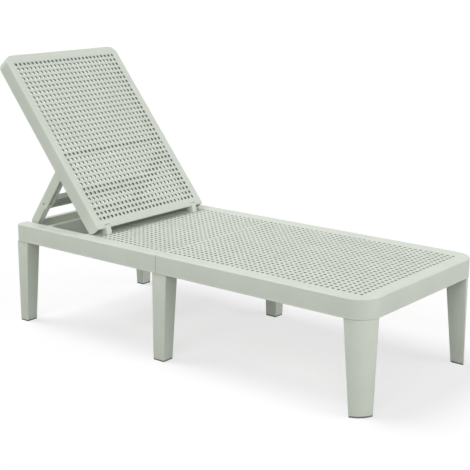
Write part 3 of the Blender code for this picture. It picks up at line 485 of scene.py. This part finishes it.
def moulded(name, bodies):
    """Object from closed bodies, with its faces outwards and its sharper edges kept.

    A body is its places and faces, and for one with deep places also how deep each place lies; that
    sets the painted shade of the holes.
    """
    vertices, faces, painted_shades, start = [], [], [], 0
    for places, quads, *depth in bodies:
        vertices.append(places)
        faces += [[corner + start for corner in face] for face in quads]
        painted_shades.append(depth[0] if depth else np.zeros(len(places)))
        start += len(places)
    mesh = bpy.data.meshes.new(name)
    mesh.from_pydata(np.concatenate(vertices).tolist(), [], faces)
    # Attribute that says where the material paints the holes' shade into the resin's colour
    mesh.attributes.new("painted_hole_shade", "FLOAT", "POINT").data.foreach_set("value", np.concatenate(painted_shades))
    shape = bmesh.new()
    shape.from_mesh(mesh)
    bmesh.ops.recalc_face_normals(shape, faces=shape.faces)
    shape.to_mesh(mesh)
    shape.free()
    mesh.shade_smooth()
    mesh.set_sharp_from_angle(angle=SMOOTH_ANGLE)
    return placed(name, mesh)


def places_of(mesh):
    """Places of a mesh's vertices, as an array of rows."""
    places = np.empty(len(mesh.vertices) * 3)
    mesh.vertices.foreach_get("co", places)
    return places.reshape(-1, 3)


def edge_levels(foot, top, radius, bead=True):
    """Levels of a moulding's side: its bead, the straight skirt and the rounded upper edge.

    On the edge the inset is r - r cos a and the height falls short of the top by r - r sin a.
    """
    levels, base = [(0, foot)], 0
    if bead:
        base = BEAD_STEP
        levels += [(0, foot + BEAD_HEIGHT), (BEAD_STEP, foot + BEAD_HEIGHT + BEAD_STEP)]
    for turn in np.linspace(0, math.pi / 2, ROUND_STEPS):
        levels.append((base + radius * (1 - math.cos(turn)), top - radius * (1 - math.sin(turn))))
    return levels


# Materials


def fill(tree, node, inputs):
    """Give a node's inputs their values, or a link where the value is another node's output."""
    for name, value in inputs.items():
        if isinstance(value, bpy.types.NodeSocket):
            tree.links.new(value, node.inputs[name])
        else:
            node.inputs[name].default_value = value


def new_node(tree, kind, inputs=(), **settings):
    """Outputs of a new shader node, after its settings are made and its inputs filled."""
    node = tree.nodes.new(f"ShaderNode{kind}")
    for name, value in settings.items():
        setattr(node, name, value)
    fill(tree, node, dict(inputs))
    return node.outputs


def new_material(name, colour, roughness, metallic=0.0):
    """A Principled material with its plain values set, and its node tree and shader."""
    material = bpy.data.materials.new(name)
    material.use_nodes = True
    material.diffuse_color = colour
    tree = material.node_tree
    shader = tree.nodes["Principled BSDF"]
    fill(tree, shader, {"Base Color": colour, "Roughness": roughness, "Metallic": metallic})
    return material, tree, shader


def noise(tree, scale, detail, stretch=(1, 1, 1)):
    """Noise on Object coordinates, stretched along its axes."""
    place = new_node(tree, "TexCoord")["Object"]
    place = new_node(tree, "Mapping", {"Scale": stretch, "Vector": place})["Vector"]
    return new_node(tree, "TexNoise", {"Scale": scale, "Detail": detail, "Vector": place})["Fac"]


def spread(tree, source, low, high):
    """Range of values from the middle of a noise."""
    start, end = NOISE_MIDDLE
    span = {"Value": source, "From Min": start, "From Max": end, "To Min": low, "To Max": high}
    return new_node(tree, "MapRange", span)["Result"]


def mixed(tree, factor, first, second):
    """Mix of two colours."""
    return new_node(tree, "Mix", {"Factor": factor, "A": first, "B": second}, data_type="RGBA")["Result"]


def drifting(tree, source, colour, drift):
    """Colour that drifts a little to either side of its own tone."""
    return mixed(tree, spread(tree, source, 0, 1), shade(colour, 1 - drift), shade(colour, 1 + drift))


def bumped(tree, source, height, strength):
    """Normal with bump from a texture."""
    return new_node(tree, "Bump", {"Strength": strength, "Distance": height, "Height": source})["Normal"]


def shade(colour, factor):
    """A colour made lighter or darker."""
    return (*[min(part * factor, 1) for part in colour[:3]], 1)


def resin_material(finish):
    """Moulded resin: a fine grain, faint drift of colour, satin that varies a little, and painted shade in
    the holes.
    """
    material, tree, shader = new_material("moulded_resin", finish.resin, finish.resin_roughness)
    plain = drifting(tree, noise(tree, scale=9, detail=3), finish.resin, RESIN_DRIFT)
    # Painted shade: deep places in the holes get the resin darkened to the hole share
    depth = new_node(tree, "Attribute", attribute_name="painted_hole_shade")["Fac"]
    fill(tree, shader, {
        "Base Color": mixed(tree, depth, plain, shade(finish.resin, finish.hole_painted_shade)),
        "Roughness": spread(tree, noise(tree, scale=45, detail=4), finish.resin_roughness - SATIN_LESS,
                            finish.resin_roughness + SATIN_MORE),
        "Normal": bumped(tree, noise(tree, scale=1400, detail=2), finish.grain, strength=0.6),
    })
    return material


def pad_material(finish):
    """Grey pad: matte, with a coarse grain."""
    material, tree, shader = new_material("foot_pad", finish.pad, roughness=0.8)
    fill(tree, shader, {
        "Base Color": drifting(tree, noise(tree, scale=120, detail=4), finish.pad, PAD_DRIFT),
        "Normal": bumped(tree, noise(tree, scale=900, detail=2), PAD_GRAIN, strength=0.5),
    })
    return material


def steel_material(finish):
    """Turned steel: fine rings across the pin."""
    material, tree, shader = new_material("pin_steel", finish.steel, roughness=0.34, metallic=1)
    lines = noise(tree, scale=500, detail=3, stretch=(4, 1, 1))
    fill(tree, shader, {
        "Roughness": spread(tree, lines, low=0.26, high=0.44),
        "Normal": bumped(tree, lines, STEEL_GRAIN, strength=0.4),
    })
    return material


MATERIALS = {}


def dressed(piece, slot, maker):
    """Give a piece the finish for a slot, made once and shared."""
    if slot not in MATERIALS:
        MATERIALS[slot] = maker(bpy.context.scene.lounger_finish)
    piece.data.materials.clear()
    piece.data.materials.append(MATERIALS[slot])


# Mouldings


def ribs_under(low, high, columns, rows, underside):
    """Ribs under the strands of a seat panel, lengthwise and crosswise, one to every few cells."""
    pitch_x, pitch_y = (high[0] - low[0]) / columns, (high[1] - low[1]) / rows
    half, bottom, top = RIB_WIDTH / 2, underside - RIB_HEIGHT, underside + SINK
    bodies = []
    for column in range(RIB_CELLS, columns, RIB_CELLS):
        place = low[0] + column * pitch_x
        bodies.append(box((place - half, low[1] - SINK, bottom), (place + half, high[1] + SINK, top)))
    for row in range(RIB_CELLS, rows, RIB_CELLS):
        place = low[1] + row * pitch_y
        bodies.append(box((low[0] - SINK, place - half, bottom), (high[0] + SINK, place + half, top)))
    return bodies


def seat_front(sizes):
    """Foot half of the seat: woven panel, rounded rim and beaded skirt."""
    across, along = THIRDS * sizes.seat_columns, THIRDS * sizes.front_rows
    low, high = (-PANEL_HALF, FOOT_END + LATTICE_FOOT), (PANEL_HALF, SEAM_FRONT - LATTICE_SEAM)
    underside = DECK_TOP - sizes.sheet

    def inner(height):
        """The woven panel's outline at one height."""
        return rounded_loop(low, high, SQUARE, across, along, height)

    def outer(inset, height, seam_inset):
        """The rim's outline at one inset and height; the seam end has an inset of its own."""
        radius = FRONT_RADIUS - inset
        return rounded_loop((-HALF_WIDTH + inset, FOOT_END + inset),
                            (HALF_WIDTH - inset, SEAM_FRONT - seam_inset), (radius, radius, 0, 0),
                            across, along, height)

    levels = edge_levels(RAIL_BOTTOM, DECK_TOP, sizes.edge_round)
    loops = [inner(DECK_TOP)]
    loops += [outer(inset, height, 0) for inset, height in levels[::-1]]
    loops += [outer(SKIRT, height, SKIRT) for height in (RAIL_BOTTOM, DECK_TOP - ROOF)]
    loops.append(inner(DECK_TOP - ROOF))
    bodies = [closed_band(loops)]
    bodies.append(woven_sheet(low, high, sizes.seat_columns, sizes.front_rows, DECK_TOP, sizes.sheet,
                              sizes.weave, sizes.seat_hole_share))
    bodies += ribs_under(low, high, sizes.seat_columns, sizes.front_rows, underside)
    for side in (-1, 1):
        near, far = side_span(side, WELL_HALF, WELL_HALF + SKIRT)
        bodies.append(box((near, low[1], RAIL_BOTTOM), (far, SEAM_FRONT - SKIRT / 2, underside)))
    bodies.append(box((-WELL_HALF, low[1] - SKIRT, RAIL_BOTTOM), (WELL_HALF, low[1], underside)))
    return moulded("seat_front_moulding", bodies)


def side_rail(sizes, side):
    """Head half's side rail with its rounded rear corner, beside the panel, the well and the prop's gate."""
    corner = arc((HALF_WIDTH - REAR_RADIUS, HEAD_END - REAR_RADIUS), REAR_RADIUS, 0, 90, CORNER_STEPS)
    groove, groove_end = HALF_WIDTH - SEAM_SLOT_DEPTH, SEAM_REAR + SEAM_SLOT
    points = [(PANEL_HALF, SEAM_REAR), (groove, SEAM_REAR), (groove, groove_end), (HALF_WIDTH, groove_end),
              *corner, (WELL_HALF, HEAD_END), (WELL_HALF, SEAT_END), (PANEL_HALF, SEAT_END)]
    weights = [(0, 0)] * 3 + [(0, 1)] + [(1, 1)] * len(corner) + [(1, 0), (0, 0), (0, 0)]
    body = prism(points, edge_levels(RAIL_BOTTOM, DECK_TOP, sizes.edge_round), weights, (SKIRT, ROOF))
    body[0][:, 0] *= side
    return body


def turned(point):
    """A point of the flat backrest turned to its reclined place, about the hinge."""
    cosine, sine = math.cos(RECLINE), math.sin(RECLINE)
    return (point[0] * cosine - point[1] * sine, point[0] * sine + point[1] * cosine)


def lug(side):
    """Hinge lug: its face is flush with the backrest's, and its boss goes round the pin.

    The boss is an arc about the hinge. It starts where a line from the deck touches it and ends at the
    lug's face.
    """
    front = turned((BACK_FOOT, BACK_HALF_THICKNESS))
    lip = turned((-LUG_LIP, BACK_HALF_THICKNESS))
    lift = math.sqrt(LUG_BOSS ** 2 - LUG_LIP ** 2)
    boss_end = math.degrees(math.atan2(lift, -LUG_LIP) + RECLINE)
    heel = (-HINGE_SETBACK, DECK_TOP - HINGE_PLACE.z)
    boss_start = math.degrees(math.atan2(heel[1], heel[0]) + math.acos(LUG_BOSS / math.hypot(*heel)))
    toe = heel[0] - LUG_LENGTH
    boss = arc((0, 0), LUG_BOSS, boss_start, boss_end, BOSS_STEPS)
    points = [(heel[0], heel[1] - SINK), heel, *boss, lip, front, (toe, heel[1]), (toe, heel[1] - SINK)]
    places = np.array(points) + (HINGE_PLACE.y, HINGE_PLACE.z)
    low, high = side_span(side, LUG_MIDDLE - LUG_WIDTH / 2, LUG_MIDDLE + LUG_WIDTH / 2)
    levels = [(LUG_SOFT, low), (0, low + LUG_SOFT), (0, high - LUG_SOFT), (LUG_SOFT, high)]
    return prism(places, levels, across=True)


def tray(low, high, levels):
    """Rail or ledge that is hollow from below; only its head end follows the insets of the levels."""
    corners = [low, (high[0], low[1]), high, (low[0], high[1])]
    return prism(corners, levels, [(0, 0), (0, 0), (0, 1), (1, 0)], (SKIRT, ROOF))


def seat_rear(sizes):
    """Head half: the rest of the woven panel, rails, cross rib, prop pocket with its ledges, and lugs."""
    low, high = (-PANEL_HALF, SEAM_REAR + LATTICE_SEAM), (PANEL_HALF, SEAT_END - LATTICE_HEAD)
    roof, shelf, ledge_top = DECK_TOP - ROOF, DECK_TOP - SHELF_DROP, DECK_TOP - LEDGE_DROP
    rear_rail = HEAD_END - REAR_RAIL
    pocket = rear_rail - POCKET
    gate, ledge = WELL_HALF - GATE_WIDTH, WELL_HALF - LEDGE_WIDTH
    bodies = [side_rail(sizes, -1), side_rail(sizes, 1)]
    bodies.append(woven_sheet(low, high, sizes.seat_columns, sizes.rear_rows, DECK_TOP, sizes.sheet,
                              sizes.weave, sizes.seat_hole_share))
    bodies += ribs_under(low, high, sizes.seat_columns, sizes.rear_rows, DECK_TOP - sizes.sheet)
    bodies += [
        box((-PANEL_HALF, SEAM_REAR, roof), (PANEL_HALF, low[1], DECK_TOP)),
        box((-PANEL_HALF, SEAM_REAR, RAIL_BOTTOM), (PANEL_HALF, SEAM_REAR + SKIRT, roof)),
        box((-PANEL_HALF, high[1], roof), (PANEL_HALF, SEAT_END, DECK_TOP)),
        box((-WELL_HALF, SEAT_END - SKIRT, RAIL_BOTTOM), (WELL_HALF, SEAT_END, roof)),
        box((-WELL_HALF, SEAT_END - SKIRT / 2, shelf - SKIRT), (WELL_HALF, SEAT_END + SHELF_LENGTH, shelf)),
        tray((-WELL_HALF, pocket - CROSS_RIB), (WELL_HALF, pocket), [(0, RAIL_BOTTOM), (0, DECK_TOP)]),
        tray((-gate, rear_rail), (gate, HEAD_END), edge_levels(RAIL_BOTTOM, DECK_TOP, sizes.edge_round)),
    ]
    gate_levels = edge_levels(RAIL_BOTTOM, ledge_top, LEDGE_ROUND)
    for side in (-1, 1):
        inner, outer = side_span(side, gate, WELL_HALF)
        bodies.append(tray((inner, rear_rail), (outer, HEAD_END), gate_levels))
        inner, outer = side_span(side, ledge, WELL_HALF)
        bodies.append(tray((inner, pocket), (outer, rear_rail), [(0, RAIL_BOTTOM), (0, ledge_top)]))
        bodies.append(lug(side))
    return moulded("seat_rear_moulding", bodies)


def heel_edge(height, radius):
    """How far in the heel's arc lies at a height: r - sqrt(r^2 - d^2), with the depth d below its centre."""
    depth = np.clip(-BACK_HALF_THICKNESS + HEEL_RADIUS - height, 0, radius)
    return float(radius - math.sqrt(radius ** 2 - depth ** 2))


def back_rim(sizes):
    """Rim of the backrest with its round heel, lying flat."""
    across, along = THIRDS * sizes.back_columns, THIRDS * sizes.back_rows
    top, bottom = BACK_HALF_THICKNESS, -BACK_HALF_THICKNESS
    underside = top - ROOF

    def inner(height):
        """The woven panel's outline at one height."""
        return rounded_loop((-BACK_LATTICE_HALF, BACK_LATTICE_FOOT), (BACK_LATTICE_HALF, BACK_LATTICE_HEAD),
                            SQUARE, across, along, height)

    def outer(inset, height, foot):
        """The rim's outline; its foot edge is given apart, because of the round heel."""
        radii = [max(radius - inset, BACK_LEAST_RADIUS) for radius in
                 (BACK_FOOT_RADIUS, BACK_FOOT_RADIUS, BACK_TOP_RADIUS, BACK_TOP_RADIUS)]
        return rounded_loop((-BACK_HALF_WIDTH + inset, foot), (BACK_HALF_WIDTH - inset, BACK_TOP - inset),
                            radii, across, along, height)

    loops = [inner(top)]
    for inset, height in edge_levels(bottom, top, sizes.edge_round, bead=False)[:0:-1]:
        loops.append(outer(inset, height, BACK_FOOT + inset * HEEL_EDGE_SHARE))
    centre = bottom + HEEL_RADIUS
    heel_angles = np.linspace(0, math.pi / 2, HEEL_STEPS + 1)
    for height in centre - HEEL_RADIUS * np.sin(heel_angles):
        loops.append(outer(0, height, BACK_FOOT + heel_edge(height, HEEL_RADIUS)))
    loops.append(outer(SKIRT, bottom, BACK_FOOT + HEEL_RADIUS))
    inner_radius = HEEL_RADIUS - SKIRT
    for height in centre - inner_radius * np.sin(heel_angles[::-1]):
        loops.append(outer(SKIRT, height, BACK_FOOT + SKIRT + heel_edge(height, inner_radius)))
    loops.append(outer(SKIRT, underside, BACK_FOOT + SKIRT))
    loops.append(inner(underside))
    return closed_band(loops)


def carved(name, body, cutters):
    """A closed body with others taken away, as places and faces again."""
    piece = moulded(name, [body])
    tool = moulded(f"{name}_cutter", cutters)
    modifier = piece.modifiers.new("cut", "BOOLEAN")
    modifier.object = tool
    modifier.operation = "DIFFERENCE"
    modifier.solver = "EXACT"
    evaluated = piece.evaluated_get(bpy.context.evaluated_depsgraph_get())
    mesh = evaluated.to_mesh()
    places, faces = places_of(mesh), [list(face.vertices) for face in mesh.polygons]
    evaluated.to_mesh_clear()
    for item in (piece, tool):
        bpy.data.objects.remove(item)
    return places, faces


def bearing(side, edge):
    """Wall that carries the hinge pin inside the backrest, beside one edge of a lug, -1 or 1."""
    near = LUG_MIDDLE + edge * (LUG_WIDTH / 2 + 2 * LUG_GAP)
    low, high = side_span(side, near, near + edge * BEARING_WALL)
    centre = (BACK_FOOT + HEEL_RADIUS, -BACK_HALF_THICKNESS + HEEL_RADIUS)
    root = BACK_HALF_THICKNESS - ROOF + SINK
    points = np.concatenate([
        [(BEARING_REACH, -LUG_BOSS / 2), (BEARING_REACH, root), (BACK_FOOT + SKIRT / 2, root)],
        arc(centre, HEEL_RADIUS - SKIRT / 2, 180, 270, HEEL_STEPS)])
    return slab(points, low, high)


def hinge_notch(side):
    """Cutter that leaves room for a lug in the backrest's foot."""
    half = LUG_WIDTH / 2 + LUG_GAP
    start, clear = BACK_FOOT - SKIRT, BACK_HALF_THICKNESS + SKIRT
    points = [(start, -clear), (NOTCH_DEPTH, -clear), (NOTCH_DEPTH, 0), (-NOTCH_EDGE, 0),
              (-NOTCH_EDGE, clear), (start, clear)]
    return slab(points, *side_span(side, LUG_MIDDLE - half, LUG_MIDDLE + half))


def heel_gaps():
    """Spans of the backrest's foot edge beside and between the lugs and their bearings."""
    beside = LUG_WIDTH / 2 + 2 * LUG_GAP + BEARING_WALL
    inner, outer, end = LUG_MIDDLE - beside, LUG_MIDDLE + beside, BACK_HALF_WIDTH - SKIRT
    return [(-end, -outer), (outer, end), (-inner, inner)]


def heel_slot(low, high):
    """Cutter for the slot along the backrest's foot edge."""
    start, end, bottom, top = BACK_FOOT - SKIRT, BACK_FOOT + 2 * SKIRT, HEEL_SLOT_LOW, HEEL_SLOT_HIGH
    return slab([(start, bottom), (end, bottom), (end, top), (start, top)], low, high)


def heel_shadow(low, high):
    """Floor of the heel slot, just inside the round heel that it follows.

    All its places get the holes' painted shade, so it stands in for the shade of a deep gap.
    """
    centre = (BACK_FOOT + HEEL_RADIUS, -BACK_HALF_THICKNESS + HEEL_RADIUS)
    radius, start = HEEL_RADIUS - HEEL_SLOT_DEPTH, BACK_FOOT + HEEL_SLOT_DEPTH
    outer = arc(centre, radius, 180, HEEL_SLOT_END_ANGLE, HEEL_STEPS)
    inner = arc(centre, radius - SINK, 180, HEEL_SLOT_END_ANGLE, HEEL_STEPS)[::-1]
    top = HEEL_SLOT_HIGH + SINK / 2
    places, faces = slab(np.concatenate([[(start, top)], outer, inner, [(start + SINK, top)]]), low, high)
    return places, faces, np.ones(len(places))


def prop_rib(side):
    """Deep rib beside a prop arm: it carries the prop's pin."""
    root, deep = BACK_HALF_THICKNESS - ROOF + SINK, PIVOT_LIFT - PROP_RIB_DROP
    half = PROP_RIB_LENGTH / 2
    points = [(PIVOT_ALONG - half, root), (PIVOT_ALONG - half / 2, deep), (PIVOT_ALONG + half / 2, deep),
              (PIVOT_ALONG + half, root)]
    return slab(points, *side_span(side, PROP_RIB_OUTER - BEARING_WALL, PROP_RIB_OUTER))


def back_walls(underside):
    """Walls round the hollow behind the woven panel, open at the sides where the prop folds in."""
    wall, head = BACK_LATTICE_HALF + BACK_WALL_SETBACK, BACK_LATTICE_HEAD + BACK_WALL_SETBACK
    root = underside + SINK
    bodies = [box((-wall, head - BACK_WALL, BACK_WALL_END), (wall, head, root))]
    for side in (-1, 1):
        inner, outer = side_span(side, wall, wall + BACK_WALL)
        for start, end in ((BEARING_REACH, PROP_BAY[0]), (PROP_BAY[1], head)):
            bodies.append(box((inner, start, BACK_WALL_END), (outer, end, root)))
    return bodies


def back_ribs(rows, underside):
    """Ribs across the back of the woven panel; where the prop folds in, all but the deep one are shorter."""
    pitch = (BACK_LATTICE_HEAD - BACK_LATTICE_FOOT) / rows
    half = RIB_WIDTH / 2
    bodies = []
    for row in range(BACK_RIB_CELLS, rows, BACK_RIB_CELLS):
        place = BACK_LATTICE_FOOT + row * pitch
        deep = row == DEEP_RIB_ROW
        short = not deep and PROP_BAY[0] < place < PROP_BAY[1]
        reach = BAY_RIB_REACH if short else PROP_RIB_OUTER - BEARING_WALL + SINK
        bottom = underside - (DEEP_RIB_HEIGHT if deep else BACK_RIB_HEIGHT)
        bodies.append(box((-reach, place - half, bottom), (reach, place + half, underside + SINK)))
    return bodies


def backrest(sizes):
    """Backrest: woven panel and rim, with the ribs and bearings behind it, turned to its rest place."""
    gaps = heel_gaps()
    cutters = [hinge_notch(side) for side in (-1, 1)] + [heel_slot(low, high) for low, high in gaps]
    bodies = [carved("rim", back_rim(sizes), cutters)]
    # Dark liners behind the heel slots, with the holes' painted shade all over
    bodies += [heel_shadow(low, high) for low, high in gaps]
    bodies.append(woven_sheet(
        (-BACK_LATTICE_HALF, BACK_LATTICE_FOOT), (BACK_LATTICE_HALF, BACK_LATTICE_HEAD), sizes.back_columns,
        sizes.back_rows, BACK_HALF_THICKNESS, sizes.back_sheet, sizes.back_weave, sizes.hole_share))
    for side in (-1, 1):
        bodies += [bearing(side, -1), bearing(side, 1), prop_rib(side)]
    underside = BACK_HALF_THICKNESS - sizes.back_sheet
    bodies += back_walls(underside) + back_ribs(sizes.back_rows, underside)
    cosine, sine = math.cos(RECLINE), math.sin(RECLINE)
    turn = np.array([[1, 0, 0], [0, cosine, -sine], [0, sine, cosine]])
    bodies = [(places @ turn.T + np.array(HINGE_PLACE), *rest) for places, *rest in bodies]
    return moulded("backrest_moulding", bodies)


def soft_copy(node, name, width):
    """A copy of a frame part with its doubles merged, flat faces joined up and its edges bevelled."""
    mesh = FRAME["nodes"][node].data.copy()
    mesh.name = name
    shape = bmesh.new()
    shape.from_mesh(mesh)
    bmesh.ops.remove_doubles(shape, verts=shape.verts, dist=MERGE)
    bmesh.ops.dissolve_limit(shape, angle_limit=FLAT_ANGLE, verts=shape.verts, edges=shape.edges)
    bmesh.ops.recalc_face_normals(shape, faces=shape.faces)
    shape.to_mesh(mesh)
    shape.free()
    mesh.shade_smooth()
    piece = placed(name, mesh)
    bevel = piece.modifiers.new("soft edges", "BEVEL")
    bevel.width = width
    bevel.segments = BEVEL_STEPS
    bevel.limit_method = "ANGLE"
    bevel.angle_limit = SMOOTH_ANGLE
    return piece


def lower_crossbar(piece):
    """Crossbar of the prop moved towards the feet and made slimmer, by sliding its places along the arms.

    A place at s from the pivot goes to where PROP_BAR_AFTER, in straight steps, stands for PROP_BAR_BEFORE
    at s. On the inner faces of the arms only the places nearer than PROP_BAR_KEPT move.
    """
    places = places_of(piece.data)
    arm = np.array([0, *PROP_FOOT]) - PROP_PIVOT
    arm /= np.linalg.norm(arm)
    along = (places - PROP_PIVOT) @ arm
    across = np.abs(places[:, 0])
    on_bar = across < PROP_ARM_INNER - SINK / 2
    on_face = (across < PROP_ARM_INNER + SINK / 2) & (along < PROP_BAR_KEPT)
    in_reach = (along >= PROP_BAR_BEFORE[0]) & (along <= PROP_BAR_BEFORE[-1])
    slide = np.interp(along, PROP_BAR_BEFORE, PROP_BAR_AFTER) - along
    slide = np.where((on_bar | on_face) & in_reach, slide, 0)
    piece.data.vertices.foreach_set("co", (places + slide[:, None] * arm).ravel())


def lower_shoulder(piece):
    """Shoulder of a leg set a little lower, for the thin shadow under the rail."""
    places = places_of(piece.data)
    height = places[:, 2]
    height[(height > RAIL_BOTTOM - LEG_SHADOW) & (height < RAIL_BOTTOM + TINY)] -= LEG_SHADOW
    piece.data.vertices.foreach_set("co", places.ravel())


def stand_in(piece, node, body):
    """Let a piece ride on its body in place of a frame part, in the resin's finish."""
    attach(piece, body)
    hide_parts(node)
    dressed(piece, "resin", resin_material)


# Operators that dress the pieces


class LOUNGER_OT_seat_front(bpy.types.Operator):
    """Foot half of the seat, woven at its real pitch"""

    bl_idname = "lounger.seat_front"
    bl_label = "Seat, foot half"

    def execute(self, context):
        stand_in(seat_front(context.scene.lounger_sizes), "seat_front", "base")
        return {"FINISHED"}


class LOUNGER_OT_seat_rear(bpy.types.Operator):
    """Head half of the seat with its well, pocket and hinge lugs"""

    bl_idname = "lounger.seat_rear"
    bl_label = "Seat, head half"

    def execute(self, context):
        stand_in(seat_rear(context.scene.lounger_sizes), "seat_rear", "base")
        return {"FINISHED"}


class LOUNGER_OT_backrest(bpy.types.Operator):
    """Backrest, woven at its real pitch"""

    bl_idname = "lounger.backrest"
    bl_label = "Backrest"

    def execute(self, context):
        stand_in(backrest(context.scene.lounger_sizes), "backrest", "backrest")
        return {"FINISHED"}


class LOUNGER_OT_prop(bpy.types.Operator):
    """Folding prop with soft edges"""

    bl_idname = "lounger.prop"
    bl_label = "Folding prop"

    def execute(self, context):
        piece = soft_copy("prop_frame", "prop_moulding", context.scene.lounger_sizes.soft_edge)
        lower_crossbar(piece)
        stand_in(piece, "prop_frame", "prop")
        return {"FINISHED"}


class LOUNGER_OT_legs(bpy.types.Operator):
    """Six legs with soft edges"""

    bl_idname = "lounger.legs"
    bl_label = "Legs"

    def execute(self, context):
        for place in ("front", "middle", "rear"):
            for side in ("left", "right"):
                node = f"leg_{place}_{side}"
                piece = soft_copy(node, f"{node}_moulding", context.scene.lounger_sizes.soft_edge)
                lower_shoulder(piece)
                stand_in(piece, node, "base")
        return {"FINISHED"}


class LOUNGER_OT_pads(bpy.types.Operator):
    """Finish of the foot pads"""

    bl_idname = "lounger.pads"
    bl_label = "Foot pads"

    def execute(self, context):
        for name, node in FRAME["nodes"].items():
            if name.startswith("foot_pad"):
                dressed(node, "pad", pad_material)
        return {"FINISHED"}


class LOUNGER_OT_fittings(bpy.types.Operator):
    """Finish of the pins, bolts and nuts"""

    bl_idname = "lounger.fittings"
    bl_label = "Pins and bolts"

    def execute(self, context):
        for name, node in FRAME["nodes"].items():
            if "_pin_" in name or name.startswith("joining"):
                dressed(node, "steel", steel_material)
        return {"FINISHED"}


# Stage


def seen_by_camera(tree):
    """One where a ray comes from the camera, straight or off gloss or through glass, and none elsewhere."""
    path = new_node(tree, "LightPath")
    total = path["Is Camera Ray"]
    for name in ("Is Glossy Ray", "Is Transmission Ray"):
        total = new_node(tree, "Math", {0: total, 1: path[name]}, operation="MAXIMUM")[0]
    return total


def floor_material(stage):
    """Floor that is white to the camera, with the lounger's shadow kept, and pale grey as a light source."""
    material, tree, shader = new_material("pale_floor", stage.floor, roughness=0.9)
    fill(tree, shader, {"Specular IOR Level": 0})
    picture = new_node(tree, "BsdfDiffuse", {"Color": stage.floor_seen})[0]
    lift = new_node(tree, "Emission", {"Strength": stage.floor_lift})[0]
    lifted = new_node(tree, "AddShader", {0: picture, 1: lift})[0]
    choice = new_node(tree, "MixShader", {"Fac": seen_by_camera(tree), 1: shader.outputs[0], 2: lifted})[0]
    fill(tree, tree.nodes["Material Output"], {"Surface": choice})
    return material


def build_world(stage):
    """Even light, and plain white where the camera looks past the floor."""
    world = bpy.data.worlds.new("studio")
    bpy.context.scene.world = world
    world.use_nodes = True
    tree = world.node_tree
    tree.nodes.clear()
    even, plain = (new_node(tree, "Background", {"Color": (1, 1, 1, 1), "Strength": strength})[0]
                   for strength in (stage.sky, 1))
    choice = new_node(tree, "MixShader", {"Fac": seen_by_camera(tree), 1: even, 2: plain})[0]
    new_node(tree, "OutputWorld", {"Surface": choice})


def soft_lamp(name, strength, towards, width):
    """Wide lamp far away that shines from one direction."""
    lamp = bpy.data.lights.new(name, "SUN")
    lamp.angle = width
    lamp.energy = strength
    placed(name, lamp).rotation_euler = Vector(towards).to_track_quat("Z", "Y").to_euler()


class LOUNGER_OT_stage(bpy.types.Operator):
    """Floor, light and camera"""

    bl_idname = "lounger.stage"
    bl_label = "Stage"

    def execute(self, context):
        stage = context.scene.lounger_stage
        mesh = bpy.data.meshes.new("floor")
        corners = [(FLOOR_REACH * x, FLOOR_REACH * y, 0) for x, y in ((-1, -1), (1, -1), (1, 1), (-1, 1))]
        mesh.from_pydata(corners, [], [(0, 1, 2, 3)])
        mesh.materials.append(floor_material(stage))
        floor = placed("floor", mesh)
        build_world(stage)

        soft_lamp("high_lamp", stage.high_lamp, stage.high_from, stage.high_width)
        soft_lamp("side_lamp", stage.side_lamp, stage.side_from, stage.lamp_width)
        soft_lamp("foot_lamp", stage.foot_lamp, stage.foot_from, stage.lamp_width)

        camera = bpy.data.cameras.new("camera")
        camera.lens = stage.lens
        camera.clip_end = VIEW_REACH
        camera_object = placed("camera", camera)
        level, down = math.cos(stage.tilt), math.sin(stage.tilt)
        view = Vector((level * math.cos(stage.heading), level * math.sin(stage.heading), -down))
        camera_object.location = stage.place
        camera_object.rotation_euler = view.to_track_quat("-Z", "Y").to_euler()
        context.scene.camera = camera_object
        context.scene.view_settings.view_transform = "Standard"
        return {"FINISHED"}


class LOUNGER_PT_panel(bpy.types.Panel):
    """The lounger's steps, in the sidebar of the 3D view"""

    bl_idname = "LOUNGER_PT_panel"
    bl_label = "Sun lounger"
    bl_space_type = "VIEW_3D"
    bl_region_type = "UI"
    bl_category = "Lounger"

    def draw(self, context):
        scene = context.scene
        for group in (scene.lounger_sizes, scene.lounger_finish, scene.lounger_stage):
            for name in group.__annotations__:
                self.layout.prop(group, name)
        for step in STEPS:
            self.layout.operator(step.bl_idname)


STEPS = (LOUNGER_OT_seat_front, LOUNGER_OT_seat_rear, LOUNGER_OT_backrest, LOUNGER_OT_prop, LOUNGER_OT_legs,
         LOUNGER_OT_pads, LOUNGER_OT_fittings, LOUNGER_OT_stage)
CLASSES = (LoungerSizes, LoungerFinish, LoungerStage, *STEPS, LOUNGER_PT_panel)


def register():
    """Add the classes and the scene's settings."""
    for item in CLASSES:
        bpy.utils.register_class(item)
    bpy.types.Scene.lounger_sizes = PointerProperty(type=LoungerSizes)
    bpy.types.Scene.lounger_finish = PointerProperty(type=LoungerFinish)
    bpy.types.Scene.lounger_stage = PointerProperty(type=LoungerStage)


def unregister():
    """Take the settings and the classes away again."""
    del bpy.types.Scene.lounger_stage
    del bpy.types.Scene.lounger_finish
    del bpy.types.Scene.lounger_sizes
    for item in reversed(CLASSES):
        bpy.utils.unregister_class(item)


def main():
    """Build every piece and the stage."""
    register()
    bpy.ops.lounger.seat_front()
    bpy.ops.lounger.seat_rear()
    bpy.ops.lounger.backrest()
    bpy.ops.lounger.prop()
    bpy.ops.lounger.legs()
    bpy.ops.lounger.pads()
    bpy.ops.lounger.fittings()
    bpy.ops.lounger.stage()


if __name__ == "__main__":
    main()
